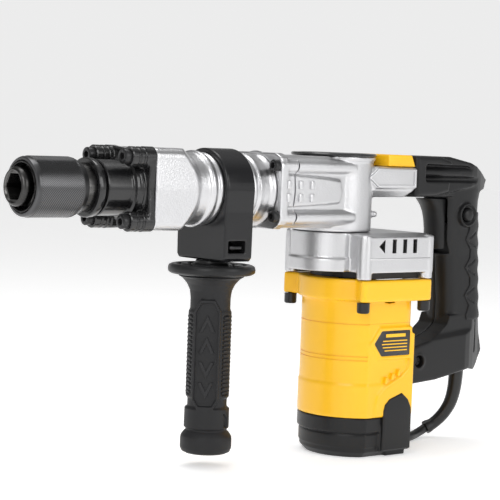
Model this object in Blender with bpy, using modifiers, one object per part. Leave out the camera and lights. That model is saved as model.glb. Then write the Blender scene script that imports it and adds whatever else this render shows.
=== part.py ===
"""Electric demolition hammer with a 17 mm hex tool holder, a rear D-handle and a band-clamped side handle.

Metres, +Z up.  The origin is the centre of the motor's base foot, on the floor.  The striking axis is
parallel to X with the tool holder towards -X, and the motor's shaft is the Z axis.
"""
import math

import bmesh
import bpy
from mathutils import Matrix, Vector

# ---- driving dimensions ----------------------------------------------------------------------
GAP = 0.0003                 # clearance between solids that touch or rest on each other
AXIS_Z = 0.197               # height of the striking axis
HEX_AF = 0.017               # across flats of the tool's hex shank
NOSE_X = -0.3067             # front face of the tool holder
SLEEVE_X = (-0.300, -0.259)  # knurled retainer sleeve
SLEEVE_R = 0.020
SLEEVE_TRAVEL = 0.0065
FLANGE_X = -0.2125           # joint face between the front cover and the cylinder housing
BOLT_Y, BOLT_Z = 0.021, 0.0216
CLAMP_X = (-0.152, -0.127)
BARREL_R = 0.025
HANDLE_X = -0.141            # screw axis of the side handle
CASE_FRONT_X = -0.105
CRANK_X = -0.029             # crank axis
CRANK_THROW = 0.012
ROD_LENGTH = 0.039
PISTON_R = 0.0157
LINER_R = (0.016, 0.019)
COLUMN_R = 0.0295
GEAR_TEETH, PINION_TEETH = 48, 10
GEAR_MODULE = 2 * abs(CRANK_X) / (GEAR_TEETH + PINION_TEETH)
MOTOR_R, MOTOR_HALF_Y, MOTOR_REAR_X = 0.0412, 0.0365, 0.029
BASE_TOP_Z, FLANGE_Z, FLANGE_TOP_Z = 0.030, 0.117, 0.133
VENT_Z = (0.1385, 0.167)
SCREW_X, SCREW_Y = 0.031, 0.0405
HANDLE_HALF = 0.019
TRIGGER_PIVOT = (0.078, 0.0, 0.191)
BUTTON_AT = (0.098, -0.0215, 0.1795)
CORD_D = 0.007
COIL_AT = (0.064, 0.064)
COIL_R = 0.035               # middle of the coil's turns
COIL_LAYERS = 4
PLUG_HALF = (0.0150, 0.0120, 0.0080)
FINE, ROUND, COARSE = 28, 24, 12   # sides of large, middling and small round shapes

CORD_ROUTE = [(0.0910, 0.0115, 0.0070), (0.0830, 0.0108, 0.0046), (0.0750, 0.0078, 0.0036),
              (0.0670, 0.0040, 0.0036), (0.0590, 0.0022, 0.0036), (0.0510, 0.0040, 0.0036),
              (0.0437, 0.0088, 0.0036), (0.0384, 0.0150, 0.0036), (0.0350, 0.0220, 0.0036),
              (0.0329, 0.0290, 0.0036)]
BOOT_ROUTE = [(0.1120, 0.0, 0.0610), (0.1120, 0.0, 0.0500), (0.1112, 0.0006, 0.0385),
              (0.1088, 0.0022, 0.0275), (0.1040, 0.0052, 0.0182), (0.0978, 0.0085, 0.0115),
              (0.0915, 0.0113, 0.0077)]

for leftover in list(bpy.data.objects):
    bpy.data.objects.remove(leftover, do_unlink=True)
PARTS = bpy.data.collections.new("demolition_hammer")
CUTTERS = bpy.data.collections.new("cutters")
bpy.context.scene.collection.children.link(PARTS)
bpy.context.scene.collection.children.link(CUTTERS)


def material(name, colour, roughness, metallic=0.0):
    mat = bpy.data.materials.new(name)
    mat.use_nodes = True
    shader = mat.node_tree.nodes["Principled BSDF"]
    shader.inputs["Base Color"].default_value = (*colour, 1.0)
    shader.inputs["Roughness"].default_value = roughness
    shader.inputs["Metallic"].default_value = metallic
    return mat


ALUMINIUM = material("cast_aluminium", (0.72, 0.72, 0.73), 0.35, 1.0)
BLACK_METAL = material("black_metal", (0.02, 0.02, 0.022), 0.3, 0.6)
STEEL = material("ground_steel", (0.6, 0.6, 0.62), 0.25, 1.0)
COPPER = material("copper", (0.75, 0.35, 0.16), 0.35, 1.0)
CARBON = material("carbon", (0.03, 0.03, 0.03), 0.7)
YELLOW = material("yellow_plastic", (0.95, 0.55, 0.03), 0.35)
DARK_PLASTIC = material("dark_plastic", (0.04, 0.04, 0.042), 0.5)
RUBBER = material("soft_rubber", (0.03, 0.03, 0.032), 0.75)
CORD_RUBBER = material("cord_rubber", (0.02, 0.02, 0.02), 0.6)


# ---- modelling helpers -----------------------------------------------------------------------
def keep(obj, mat):
    """File an object as a part with a material, or as a cutter when it has none."""
    if mat is None:
        obj.hide_render = True
        obj.display_type = "WIRE"
        CUTTERS.objects.link(obj)
    else:
        obj.data.materials.append(mat)
        PARTS.objects.link(obj)
    return obj


def new_mesh(name, build):
    mesh = bpy.data.meshes.new(name)
    bm = bmesh.new()
    build(bm)
    bm.to_mesh(mesh)
    bm.free()
    return bpy.data.objects.new(name, mesh)


def block(name, low, high, mat=None, bevel=0.0):
    """A box between two corners, with rounded edges where bevel is given."""
    low, high = Vector(low), Vector(high)

    def build(bm):
        bmesh.ops.create_cube(bm, size=1.0)
        bmesh.ops.scale(bm, vec=high - low, verts=bm.verts)

    obj = new_mesh(name, build)
    obj.location = (low + high) / 2
    if bevel:
        rounding = obj.modifiers.new("rounding", "BEVEL")
        rounding.width = bevel
        rounding.segments = 2
    return keep(obj, mat)


AIM = {"X": Matrix.Rotation(math.pi / 2, 4, "Y"), "Y": Matrix.Rotation(-math.pi / 2, 4, "X"), "Z": Matrix()}


def rod(name, radius, start, length, along, mat=None, sides=COARSE):
    """A cylinder from start, running length along one axis."""
    def build(bm):
        bmesh.ops.create_cone(bm, cap_ends=True, segments=sides, radius1=radius, radius2=radius, depth=length,
                              matrix=Matrix.Translation((0, 0, length / 2)))

    obj = new_mesh(name, build)
    obj.matrix_world = Matrix.Translation(start) @ AIM[along]
    obj.data.shade_smooth()
    obj.data.set_sharp_from_angle(angle=math.radians(35))
    return keep(obj, mat)


def turned(name, outside, bore=(), at=(0, 0, 0), along="Z", mat=None, sides=ROUND):
    """A turned piece.  outside lists (radius, place) from the far end to the near end along its axis;
    bore lists the hole's wall back to the far end, and without one the ends are closed on the axis."""
    if bore:
        points = list(outside) + list(bore)
    else:
        points = [(0.0, outside[0][1])] + list(outside) + [(0.0, outside[-1][1])]

    def build(bm):
        verts = [bm.verts.new((radius, 0.0, place)) for radius, place in points]
        for first, second in zip(verts, verts[1:]):
            bm.edges.new((first, second))
        if bore:
            bm.edges.new((verts[-1], verts[0]))

    obj = new_mesh(name, build)
    obj.matrix_world = Matrix.Translation(at) @ AIM[along]
    screw = obj.modifiers.new("turn", "SCREW")
    screw.steps = screw.render_steps = sides
    screw.use_merge_vertices = True
    screw.merge_threshold = 0.00001
    screw.use_smooth_shade = False
    return keep(obj, mat)


FACING = {"Z": Matrix(), "Y": Matrix.Rotation(math.pi / 2, 4, "X"),
          "X": Matrix(((0, 0, 1, 0), (1, 0, 0, 0), (0, 1, 0, 0), (0, 0, 0, 1)))}


def plate(name, outline, low, high, facing, mat=None, bevel=0.0):
    """A flat outline given thickness from low to high along the axis it faces.
    Its points are (x, y) facing Z, (x, z) facing Y and (y, z) facing X."""
    curve = bpy.data.curves.new(name, "CURVE")
    curve.dimensions = "2D"
    curve.fill_mode = "BOTH"
    curve.extrude = (high - low) / 2
    curve.render_resolution_u = 0
    spline = curve.splines.new("POLY")
    spline.points.add(len(outline) - 1)
    for point, (across, up) in zip(spline.points, outline):
        point.co = (across, up, 0.0, 1.0)
    spline.use_cyclic_u = True
    flat = bpy.data.objects.new(name + "_outline", curve)
    bpy.context.scene.collection.objects.link(flat)
    obj = bpy.data.objects.new(name, solid_of(flat))
    middle = Vector(((low + high) / 2 if facing == axis else 0.0 for axis in "XYZ"))
    obj.matrix_world = Matrix.Translation(middle) @ FACING[facing]
    if bevel:
        rounding = obj.modifiers.new("rounding", "BEVEL")
        rounding.width = bevel
        rounding.segments = 2
        rounding.limit_method = "ANGLE"
        rounding.angle_limit = math.radians(40)
    return keep(obj, mat)


def solid_of(curve_object):
    """The closed mesh of a curve object, which is then removed."""
    bpy.context.view_layer.update()
    evaluated = curve_object.evaluated_get(bpy.context.evaluated_depsgraph_get())
    mesh = bpy.data.meshes.new_from_object(evaluated)
    bm = bmesh.new()
    bm.from_mesh(mesh)
    bmesh.ops.remove_doubles(bm, verts=bm.verts, dist=0.00001)
    bmesh.ops.recalc_face_normals(bm, faces=bm.faces)
    bm.to_mesh(mesh)
    bm.free()
    bpy.data.objects.remove(curve_object, do_unlink=True)
    return mesh


def tube(name, route, radii, mat, sides_level=2):
    """A round tube along a POLY spline; radii is one radius, or one for each point."""
    curve = bpy.data.curves.new(name, "CURVE")
    curve.dimensions = "3D"
    curve.bevel_depth = 1.0
    curve.bevel_resolution = sides_level
    curve.use_fill_caps = True
    curve.render_resolution_u = 0
    spline = curve.splines.new("POLY")
    spline.points.add(len(route) - 1)
    if not isinstance(radii, (list, tuple)):
        radii = [radii] * len(route)
    for point, place, radius in zip(spline.points, route, radii):
        point.co = (*place, 1.0)
        point.radius = radius
    return keep(bpy.data.objects.new(name, curve), mat)


def boolean(target, tool, operation="DIFFERENCE"):
    step = target.modifiers.new(operation.lower(), "BOOLEAN")
    step.operation = operation
    step.object = tool
    return target


def pivot(name, at, *pieces):
    """An empty on a joint's axis that carries the pieces which move with it."""
    empty = bpy.data.objects.new(name, None)
    empty.empty_display_size = 0.01
    empty.location = at
    PARTS.objects.link(empty)
    for piece in pieces:
        piece.parent = empty
        piece.matrix_parent_inverse = Matrix.Translation(at).inverted()


def arc(centre, radius, start, end, count):
    """count + 1 points along an arc, angles in degrees."""
    angles = [math.radians(start + (end - start) * step / count) for step in range(count + 1)]
    return [(centre[0] + radius * math.cos(a), centre[1] + radius * math.sin(a)) for a in angles]


def smooth(points, spacing):
    """Points at about equal spacing on a Catmull-Rom curve through the given points."""
    knots = [Vector(p) for p in points]
    knots = [2 * knots[0] - knots[1], *knots, 2 * knots[-1] - knots[-2]]
    result = [knots[1]]
    for a, b, c, d in zip(knots, knots[1:], knots[2:], knots[3:]):
        count = max(1, round((c - b).length / spacing))
        for step in range(1, count + 1):
            t = step / count
            result.append(0.5 * (2 * b + (c - a) * t + (2 * a - 5 * b + 4 * c - d) * t ** 2
                                 + (3 * b - a - 3 * c + d) * t ** 3))
    return result


def bolt(name, start, along, head_r, head_length, shank_r, shank_length, mat=BLACK_METAL):
    """A cap screw: a head from start, then a shank, both running along one axis (a negative
    length runs the other way)."""
    total = head_length + shank_length
    low, high = sorted((0.0, total))
    profile = [(head_r, head_length), (head_r, 0.0)]
    profile = [(shank_r, total), (shank_r, head_length)] + profile
    if total < 0:
        profile = [(r, p) for r, p in reversed(profile)]
    return turned(name, profile, at=start, along=along, mat=mat, sides=12)


def gear_outline(teeth, module, phase):
    """A toothed outline about the origin, with teeth at phase degrees and every pitch after it."""
    pitch_r = module * teeth / 2
    points = []
    for tooth in range(teeth):
        middle = math.radians(phase) + 2 * math.pi * tooth / teeth
        for turn, radius in ((-0.30, -1.15), (-0.13, 0.6), (0.13, 0.6), (0.30, -1.15)):
            angle = middle + turn * 2 * math.pi / teeth
            reach = pitch_r + radius * module
            points.append((reach * math.cos(angle), reach * math.sin(angle)))
    return points


# ---- tool holder and front cover -------------------------------------------------------------
def tool_holder():
    """Steel barrel with the hex socket, its nose ring and the necks behind the sleeve."""
    front = 0.0
    outside = [(0.0120, 0.1100), (0.0120, 0.0790), (0.0155, 0.0785), (0.0155, 0.0548), (0.0165, 0.0545),
               (0.0165, 0.0420), (0.0135, 0.0415), (0.0135, 0.0085), (0.0120, 0.0050), (0.0120, 0.0008),
               (0.0112, front)]
    holder = turned("tool_holder", outside, at=(NOSE_X, 0, AXIS_Z), along="X", mat=STEEL)
    hexagon = arc((0.0, AXIS_Z), HEX_AF / math.sqrt(3), 0, 300, 5)
    boolean(holder, plate("hex_socket", hexagon, NOSE_X - 0.01, NOSE_X + 0.075, "X"))
    beat_bore = rod("beat_bore", 0.0085, (NOSE_X + 0.06, 0, AXIS_Z), 0.06, "X", sides=24)
    return boolean(holder, beat_bore)


def retainer_sleeve():
    length = SLEEVE_X[1] - SLEEVE_X[0]
    outside = [(0.0178, length), (0.0182, length - 0.0002), (SLEEVE_R, length - 0.004), (SLEEVE_R, 0.0025),
               (0.0190, 0.0)]
    bore = [(0.0160, 0.0), (0.0160, 0.0040), (0.0169, 0.0045), (0.0169, length)]
    sleeve = turned("retainer_sleeve", outside, bore, (SLEEVE_X[0], 0, AXIS_Z), "X", BLACK_METAL)
    spring_turns, points_per_turn, radius = 5, 10, 0.0151
    start_x, pitch = -0.2935, 0.0050
    route = [(start_x + pitch * step / points_per_turn,
              radius * math.cos(2 * math.pi * step / points_per_turn),
              AXIS_Z + radius * math.sin(2 * math.pi * step / points_per_turn))
             for step in range(spring_turns * points_per_turn + 1)]
    tube("sleeve_spring", route, 0.0005, STEEL, 1)
    pivot("sleeve_slide_axis", (SLEEVE_X[0], 0, AXIS_Z), sleeve)


def stop_ring():
    """The ring that the sleeve slides back to."""
    outside = [(0.0195, 0.0053), (0.0200, 0.0045), (0.0200, 0.0010), (0.0195, 0.0)]
    bore = [(0.0158, 0.0), (0.0158, 0.0053)]
    turned("stop_ring", outside, bore, (-0.2518, 0, AXIS_Z), "X", BLACK_METAL)


def corner_places():
    return [(y, AXIS_Z + z) for y in (-BOLT_Y, BOLT_Y) for z in (-BOLT_Z, BOLT_Z)]


def front_cover():
    length = FLANGE_X + 0.2439
    outside = [(0.0235, length), (0.0235, 0.0200), (0.0190, 0.0150), (0.0190, 0.0005), (0.0185, 0.0)]
    bore = [(0.0159, 0.0), (0.0159, length)]
    cover = turned("front_cover", outside, bore, (-0.2439, 0, AXIS_Z), "X", BLACK_METAL)
    flange = plate("cover_flange", rounded_square(0.027, 0.006), FLANGE_X - 0.004, FLANGE_X, "X")
    boolean(flange, rod("flange_eye", 0.0205, (FLANGE_X - 0.01, 0, AXIS_Z), 0.02, "X", sides=ROUND))
    boolean(cover, flange, "UNION")
    for number, (y, z) in enumerate(corner_places(), 1):
        boss = rod(f"cover_boss_{number}", 0.0072, (-0.2310, y, z), 0.0185, "X")
        boolean(cover, boss, "UNION")
    for number, (y, z) in enumerate(corner_places(), 1):
        boolean(cover, rod(f"cover_hole_{number}", 0.0029, (-0.2400, y, z), 0.03, "X", sides=12))
        bolt(f"front_bolt_{number}", (-0.2363, y, z), "X", 0.0050, 0.0050, 0.0025, 0.0340)


def rounded_square(half, corner):
    """A rounded square round the striking axis, as (y, z) points."""
    points = []
    for side, (y, z) in enumerate(((1, 1), (-1, 1), (-1, -1), (1, -1))):
        centre = (y * (half - corner), AXIS_Z + z * (half - corner))
        points += arc(centre, corner, 90 * side, 90 * side + 90, 3)
    return points


# ---- cylinder housing and what strikes inside it ---------------------------------------------
def cylinder_housing():
    outside = [(BARREL_R, 0.1071), (BARREL_R, 0.0530), (0.0265, 0.0520), (0.0265, 0.0485),
               (BARREL_R, 0.0475), (BARREL_R, 0.0)]
    bore = [(LINER_R[1] + GAP, 0.0), (LINER_R[1] + GAP, 0.1071)]
    start = FLANGE_X + GAP
    housing = turned("cylinder_housing", outside, bore, (start, 0, AXIS_Z), "X", ALUMINIUM, FINE)
    square = plate("housing_square", rounded_square(0.028, 0.0065), start, start + 0.040, "X")
    facing = turned("housing_facing", [(0.0240, 0.0405), (0.0400, 0.0170), (0.0400, -0.0010)],
                    at=(start, 0, AXIS_Z), along="X", sides=FINE)
    boolean(square, facing, "INTERSECT")
    boolean(square, rod("square_eye", 0.0215, (start - 0.01, 0, AXIS_Z), 0.06, "X", sides=FINE))
    boolean(housing, square, "UNION")
    for number, (y, z) in enumerate(corner_places(), 1):
        boolean(housing, rod(f"housing_hole_{number}", 0.0029, (start - 0.005, y, z), 0.022, "X", sides=12))
    turned("cylinder_liner", [(LINER_R[1], 0.1530), (LINER_R[1], 0.0)],
           [(LINER_R[0], 0.0), (LINER_R[0], 0.1530)], (-0.2060, 0, AXIS_Z), "X", STEEL)


def striking_parts():
    """Beat piece, striker, piston, its pin and the connecting rod, in line on the striking axis."""
    beat = turned("beat_piece", [(0.0080, 0.0620), (0.0080, 0.0)], at=(-0.2400, 0, AXIS_Z), along="X",
                  mat=STEEL, sides=24)
    pivot("beat_piece_axis", (-0.2400, 0, AXIS_Z), beat)
    striker = turned("striker", [(PISTON_R, 0.0400), (PISTON_R, 0.0060), (0.0120, 0.0)],
                     at=(-0.1600, 0, AXIS_Z), along="X", mat=STEEL)
    pivot("striker_axis", (-0.1600, 0, AXIS_Z), striker)

    piston_x = CRANK_X - CRANK_THROW - ROD_LENGTH
    piston = turned("piston", [(PISTON_R, 0.0080), (PISTON_R, -0.0160), (0.0142, -0.0163), (0.0142, -0.0187),
                               (PISTON_R, -0.0190), (PISTON_R, -0.0220)],
                    at=(piston_x, 0, AXIS_Z), along="X", mat=ALUMINIUM)
    boolean(piston, block("piston_slot", (piston_x - 0.0085, -0.02, AXIS_Z - 0.0050),
                          (piston_x + 0.02, 0.02, AXIS_Z + 0.0050)))
    boolean(piston, rod("pin_bore", 0.0033, (piston_x, 0, AXIS_Z - 0.02), 0.04, "Z"))
    pin = rod("piston_pin", 0.0030, (piston_x, 0, AXIS_Z - 0.0138), 0.0276, "Z", STEEL)
    pivot("piston_axis", (piston_x, 0, AXIS_Z), piston, pin)

    thick = 0.0045
    bar = block("connecting_rod", (piston_x + 0.003, -0.0038, AXIS_Z - thick),
                (piston_x + ROD_LENGTH - 0.004, 0.0038, AXIS_Z + thick), STEEL)
    for name, x, radius in (("small_end", piston_x, 0.0065), ("big_end", piston_x + ROD_LENGTH, 0.0080)):
        boolean(bar, rod(name, radius, (x, 0, AXIS_Z - thick), 2 * thick, "Z", sides=24), "UNION")
    for name, x, radius in (("small_eye", piston_x, 0.0033), ("big_eye", piston_x + ROD_LENGTH, 0.0045)):
        boolean(bar, rod(name, radius, (x, 0, AXIS_Z - 0.01), 0.02, "Z"))
    pivot("rod_axis", (piston_x, 0, AXIS_Z), bar)


def crank():
    """Crankshaft with its disc, its pin (which stops just under the rod's eye) and the driven gear."""
    outside = [(0.0165, 0.1860), (0.0165, 0.1790), (0.0060, 0.1785), (0.0060, 0.1450)]
    shaft = turned("crankshaft", outside, at=(CRANK_X, 0, 0), mat=STEEL)
    pin = rod("crank_pin", 0.0042, (CRANK_X - CRANK_THROW, 0, 0.1850), AXIS_Z - 0.0050 - 0.1850, "Z")
    boolean(shaft, pin, "UNION")
    gear = plate("driven_gear", gear_outline(GEAR_TEETH, GEAR_MODULE, 0.0), 0.1478, 0.1568, "Z")
    gear.location.x = CRANK_X
    boolean(shaft, gear, "UNION")
    pivot("crank_axis", (CRANK_X, 0, 0.1500), shaft)
    turned("crank_bearing", [(0.0140, 0.1670), (0.0140, 0.1600)],
           [(0.0060 + GAP, 0.1600), (0.0060 + GAP, 0.1670)], (CRANK_X, 0, 0), mat=STEEL)


# ---- side handle -----------------------------------------------------------------------------
def handle_clamp():
    """Plastic band clamp round the barrel, with the nut pocket and the screw hole below it."""
    outline = arc((0.0, AXIS_Z), 0.0287, 0, 180, 16)
    outline += [(-0.0270, 0.1800), (-0.0270, 0.1500), (-0.0240, 0.1470), (0.0240, 0.1470), (0.0270, 0.1500),
                (0.0270, 0.1800)]
    clamp = plate("handle_clamp", outline, *CLAMP_X, "X", DARK_PLASTIC)
    boolean(clamp, rod("clamp_eye", BARREL_R + GAP, (CLAMP_X[0] - 0.01, 0, AXIS_Z), 0.05, "X", sides=FINE))
    boolean(clamp, block("nut_pocket", (-0.1485, -0.04, 0.1535), (-0.1335, 0.04, 0.1620)))
    boolean(clamp, rod("screw_hole", 0.0044, (HANDLE_X, 0, 0.14), 0.032, "Z"))
    nut = turned("clamp_nut", [(0.0072, 0.1600), (0.0072, 0.1541)], [(0.0048, 0.1541), (0.0048, 0.1600)],
                 (HANDLE_X, 0, 0), mat=STEEL, sides=6)
    pivot("clamp_axis", ((CLAMP_X[0] + CLAMP_X[1]) / 2, 0, AXIS_Z), clamp, nut)


def side_handle():
    grip = turned("side_grip", [(0.0200, 0.1355), (0.0165, 0.1300), (0.0145, 0.1220), (0.0142, 0.0560),
                                (0.0165, 0.0500), (0.0165, 0.0440), (0.0140, 0.0420), (0.0145, 0.0260),
                                (0.0183, 0.0240), (0.0183, 0.0130), (0.0160, 0.0100)],
                  at=(HANDLE_X, 0, 0), mat=RUBBER)
    boolean(grip, rod("stud_socket", 0.0043, (HANDLE_X, 0, 0.1000), 0.04, "Z"))
    guard = turned("grip_guard", [(0.0120, 0.1465), (0.0130, 0.1440), (0.0300, 0.1440), (0.0310, 0.1420),
                                  (0.0310, 0.1380), (0.0290, 0.1360)],
                   [(0.0043, 0.1360), (0.0043, 0.1465)], (HANDLE_X, 0, 0), mat=DARK_PLASTIC)
    stud = rod("handle_stud", 0.0040, (HANDLE_X, 0, 0.1005), 0.0690, "Z", STEEL)
    pivot("side_handle_axis", (HANDLE_X, 0, 0.1400), grip, guard, stud)


# ---- crankcase -------------------------------------------------------------------------------
def crankcase():
    """Aluminium casting: a box behind the cylinder, the crank's column and the arm to the handle."""
    low, high = AXIS_Z - 0.0270, AXIS_Z + 0.0255
    case = block("crankcase", (CASE_FRONT_X, -0.0285, low), (CRANK_X, 0.0285, high), ALUMINIUM, 0.004)
    column_z = VENT_Z[1] + GAP
    column = rod("column", COLUMN_R, (CRANK_X, 0, column_z), 0.2225 - column_z, "Z", sides=FINE)
    arm = block("arm", (CRANK_X, -0.0250, 0.1933), (0.0327, 0.0250, 0.2160), None, 0.002)
    boolean(boolean(case, column, "UNION"), arm, "UNION")
    boolean(case, rod("case_bore", BARREL_R - 0.0010, (CASE_FRONT_X - 0.01, 0, AXIS_Z), 0.07, "X", sides=FINE))
    boolean(case, rod("crank_room", 0.0262, (CRANK_X, 0, 0.16), 0.08, "Z", sides=FINE))
    boolean(case, block("arm_hollow", (0.0, -0.0220, 0.1965), (0.04, 0.0220, 0.2130)))
    for number, (y, z) in enumerate(((y, AXIS_Z + z) for y in (-0.0253, 0.0253) for z in (-0.018, 0.018)), 1):
        boolean(case, rod(f"case_hole_{number}", 0.0023, (CASE_FRONT_X - 0.01, y, z), 0.03, "X", sides=12))
        bolt(f"case_bolt_{number}", (CASE_FRONT_X - 0.0043, y, z), "X", 0.0040, 0.0040, 0.0020, 0.0130)
    turned("top_cover", [(0.0300, 0.2250), (0.0320, 0.2242), (0.0320, 0.2228), (0.0259, 0.2227), (0.0259, 0.2190)],
           at=(CRANK_X, 0, 0), mat=BLACK_METAL, sides=FINE)
    accent = [(0.0055, -0.0235), (0.0320, -0.0235), (0.0320, 0.0235), (0.0055, 0.0235)]
    plate("accent_panel", accent, 0.2163, 0.2245, "Z", YELLOW)


def gear_housing():
    """Lower casting over the motor, with the gear chamber and a louvred air box on each side."""
    outline = arc((CRANK_X, 0.0), COLUMN_R, 120, 240, 8)
    outline += [(-0.0360, -0.0440), (-0.0345, -0.0455), (0.0345, -0.0455), (0.0380, -0.0400), (0.0395, -0.0260),
                (0.0395, 0.0260), (0.0380, 0.0400), (0.0345, 0.0455), (-0.0345, 0.0455), (-0.0360, 0.0440)]
    housing = plate("gear_housing", outline, *VENT_Z, "Z", ALUMINIUM, 0.0015)
    boolean(housing, rod("gear_chamber", 0.0262, (CRANK_X, 0, 0.13), 0.0295, "Z", sides=FINE))
    boolean(housing, rod("pinion_room", 0.0130, (0, 0, 0.13), 0.033, "Z", sides=24))
    boolean(housing, rod("bearing_seat", 0.0143, (CRANK_X, 0, 0.15), 0.03, "Z", sides=ROUND))
    for side in (-1, 1):
        low, high = sorted((side * 0.0290, side * 0.0430))
        boolean(housing, block("air_box", (-0.0320, low, 0.13), (0.0340, high, 0.1640)))
        low, high = sorted((side * 0.0400, side * 0.0500))
        for start in (-0.0084 - 0.0071, -0.0043, 0.0064, 0.0128):
            boolean(housing, block("louvre", (start, low, 0.1528), (start + 0.0042, high, 0.1631)))
    for x in (-SCREW_X, SCREW_X):
        for side in (-1, 1):
            post = rod("screw_post", 0.0048, (x, side * (SCREW_Y - 0.0005), FLANGE_TOP_Z + GAP), 0.0065, "Z")
            boolean(housing, post, "UNION")
    plate_r = 0.0360
    bearing = turned("bearing_plate", [(plate_r, 0.1382), (plate_r, 0.1335), (0.0150, 0.1335), (0.0140, 0.1300)],
                     [(0.0113, 0.1300), (0.0113, 0.1382)], mat=ALUMINIUM)
    for x in (-SCREW_X, SCREW_X):
        for side in (-1, 1):
            boolean(bearing, rod("post_gap", 0.0053, (x, side * (SCREW_Y - 0.0005), 0.12), 0.03, "Z"))


# ---- motor -----------------------------------------------------------------------------------
def motor_outline(inset=0.0):
    """The motor casing's section: round in front, flat sides and rounded rear corners."""
    corner = 0.012
    rear = MOTOR_REAR_X - inset
    half = MOTOR_HALF_Y - inset
    points = arc((0, 0), MOTOR_R - inset, 120, 240, 14)
    points += arc((rear - corner, -half + corner), corner, -90, 0, 4)
    points += arc((rear - corner, half - corner), corner, 0, 90, 4)
    return points


def flange_outline():
    """The casing's top flange, which reaches round the four corner screws."""
    boss = 0.0050
    points = arc((0, 0), 0.0445, 132, 228, 10)
    points += arc((-SCREW_X, -SCREW_Y), boss, 200, 290, 3) + arc((SCREW_X, -SCREW_Y), boss, 250, 380, 4)
    points += [(0.0350, -0.0300), (0.0350, 0.0300)]
    points += arc((SCREW_X, SCREW_Y), boss, -20, 110, 4) + arc((-SCREW_X, SCREW_Y), boss, 70, 160, 3)
    return points


def motor_housing():
    casing = plate("motor_housing", motor_outline(), BASE_TOP_Z, FLANGE_Z + 0.001, "Z", YELLOW)
    boolean(casing, plate("top_flange", flange_outline(), FLANGE_Z, FLANGE_TOP_Z, "Z"), "UNION")
    boolean(casing, plate("motor_room", motor_outline(0.003), BASE_TOP_Z - 0.01, FLANGE_Z + 0.001, "Z"))
    boolean(casing, rod("fan_room", 0.0370, (0, 0, FLANGE_Z), 0.03, "Z", sides=FINE))
    number = 0
    for x in (-SCREW_X, SCREW_X):
        for y in (-SCREW_Y, SCREW_Y):
            number += 1
            boolean(casing, rod("flange_hole", 0.0024, (x, y, 0.10), 0.04, "Z", sides=12))
            bolt(f"flange_screw_{number}", (x, y, 0.1090), "Z", 0.0045, 0.0077, 0.0020, 0.0130)
    base = plate("base_cap", motor_outline(), 0.0, BASE_TOP_Z - GAP, "Z", DARK_PLASTIC, 0.002)
    boolean(base, plate("base_room", motor_outline(0.0035), 0.0040, 0.04, "Z"))
    for side, name in ((-1, "left"), (1, "right")):
        outline = [(-0.0030, 0.0060), (0.0240, 0.0060), (0.0240, 0.0380), (0.0105, 0.0460), (-0.0030, 0.0380)]
        low, high = sorted((side * (MOTOR_HALF_Y + GAP), side * (MOTOR_HALF_Y + 0.0028)))
        plate(f"brush_cover_{name}", outline, low, high, "Y", DARK_PLASTIC)
    label = [(-0.0130, 0.0865), (-0.0065, 0.0770), (0.0185, 0.0770), (0.0185, 0.0960), (-0.0065, 0.0960)]
    plate("label_plate", label, -MOTOR_HALF_Y - 0.0013, -MOTOR_HALF_Y - GAP, "Y", DARK_PLASTIC)


def armature():
    """Shaft with the pinion on top, laminated core, commutator and fan."""
    shaft = turned("armature_shaft", [(0.0038, 0.1460), (0.0038, 0.0080)], mat=STEEL, sides=COARSE)
    pinion = gear_outline(PINION_TEETH, GEAR_MODULE, 180 / PINION_TEETH)
    boolean(shaft, plate("pinion", pinion, 0.1455, 0.1580, "Z"), "UNION")
    core = turned("armature_core", [(0.0150, 0.1120), (0.0150, 0.1040), (0.0180, 0.1035), (0.0180, 0.0600),
                                    (0.0150, 0.0595), (0.0150, 0.0510)],
                  [(0.0041, 0.0510), (0.0041, 0.1120)], mat=COPPER)
    commutator = turned("commutator", [(0.0110, 0.0480), (0.0110, 0.0280)], [(0.0041, 0.0280), (0.0041, 0.0480)],
                        mat=COPPER, sides=24)
    fan = turned("cooling_fan", [(0.0090, 0.1280), (0.0090, 0.1205), (0.0330, 0.1200), (0.0330, 0.1185)],
                 [(0.0041, 0.1185), (0.0041, 0.1280)], mat=DARK_PLASTIC)
    blades = 9
    for blade in range(blades):
        vane = block("fan_blade", (0.0080, -0.0008, 0.1190), (0.0325, 0.0008, 0.1270))
        vane.matrix_world = Matrix.Rotation(2 * math.pi * blade / blades, 4, "Z") @ Matrix.Translation(
            (0.02025, 0.0, 0.1230))
        boolean(fan, vane, "UNION")
    pivot("armature_axis", (0, 0, 0.0800), shaft, core, commutator, fan)
    turned("upper_bearing", [(0.0110, 0.1378), (0.0110, 0.1302)], [(0.0041, 0.1302), (0.0041, 0.1378)],
           mat=STEEL, sides=24)
    turned("lower_bearing", [(0.0095, 0.0190), (0.0095, 0.0120)], [(0.0041, 0.0120), (0.0041, 0.0190)],
           mat=STEEL, sides=24)
    stator = turned("stator", [(0.0325, 0.1080), (0.0325, 0.0560)], [(0.0190, 0.0560), (0.0190, 0.1080)], mat=STEEL)
    flats = block("stator_flats", (-0.0250, -0.0400, 0.0500), (0.0250, 0.0400, 0.1200))
    boolean(stator, flats, "INTERSECT")
    for side, name in ((-1, "left"), (1, "right")):
        low, high = sorted((side * 0.0114, side * 0.0300))
        block(f"carbon_brush_{name}", (-0.0060, low, 0.0330), (0.0060, high, 0.0410), CARBON)


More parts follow.
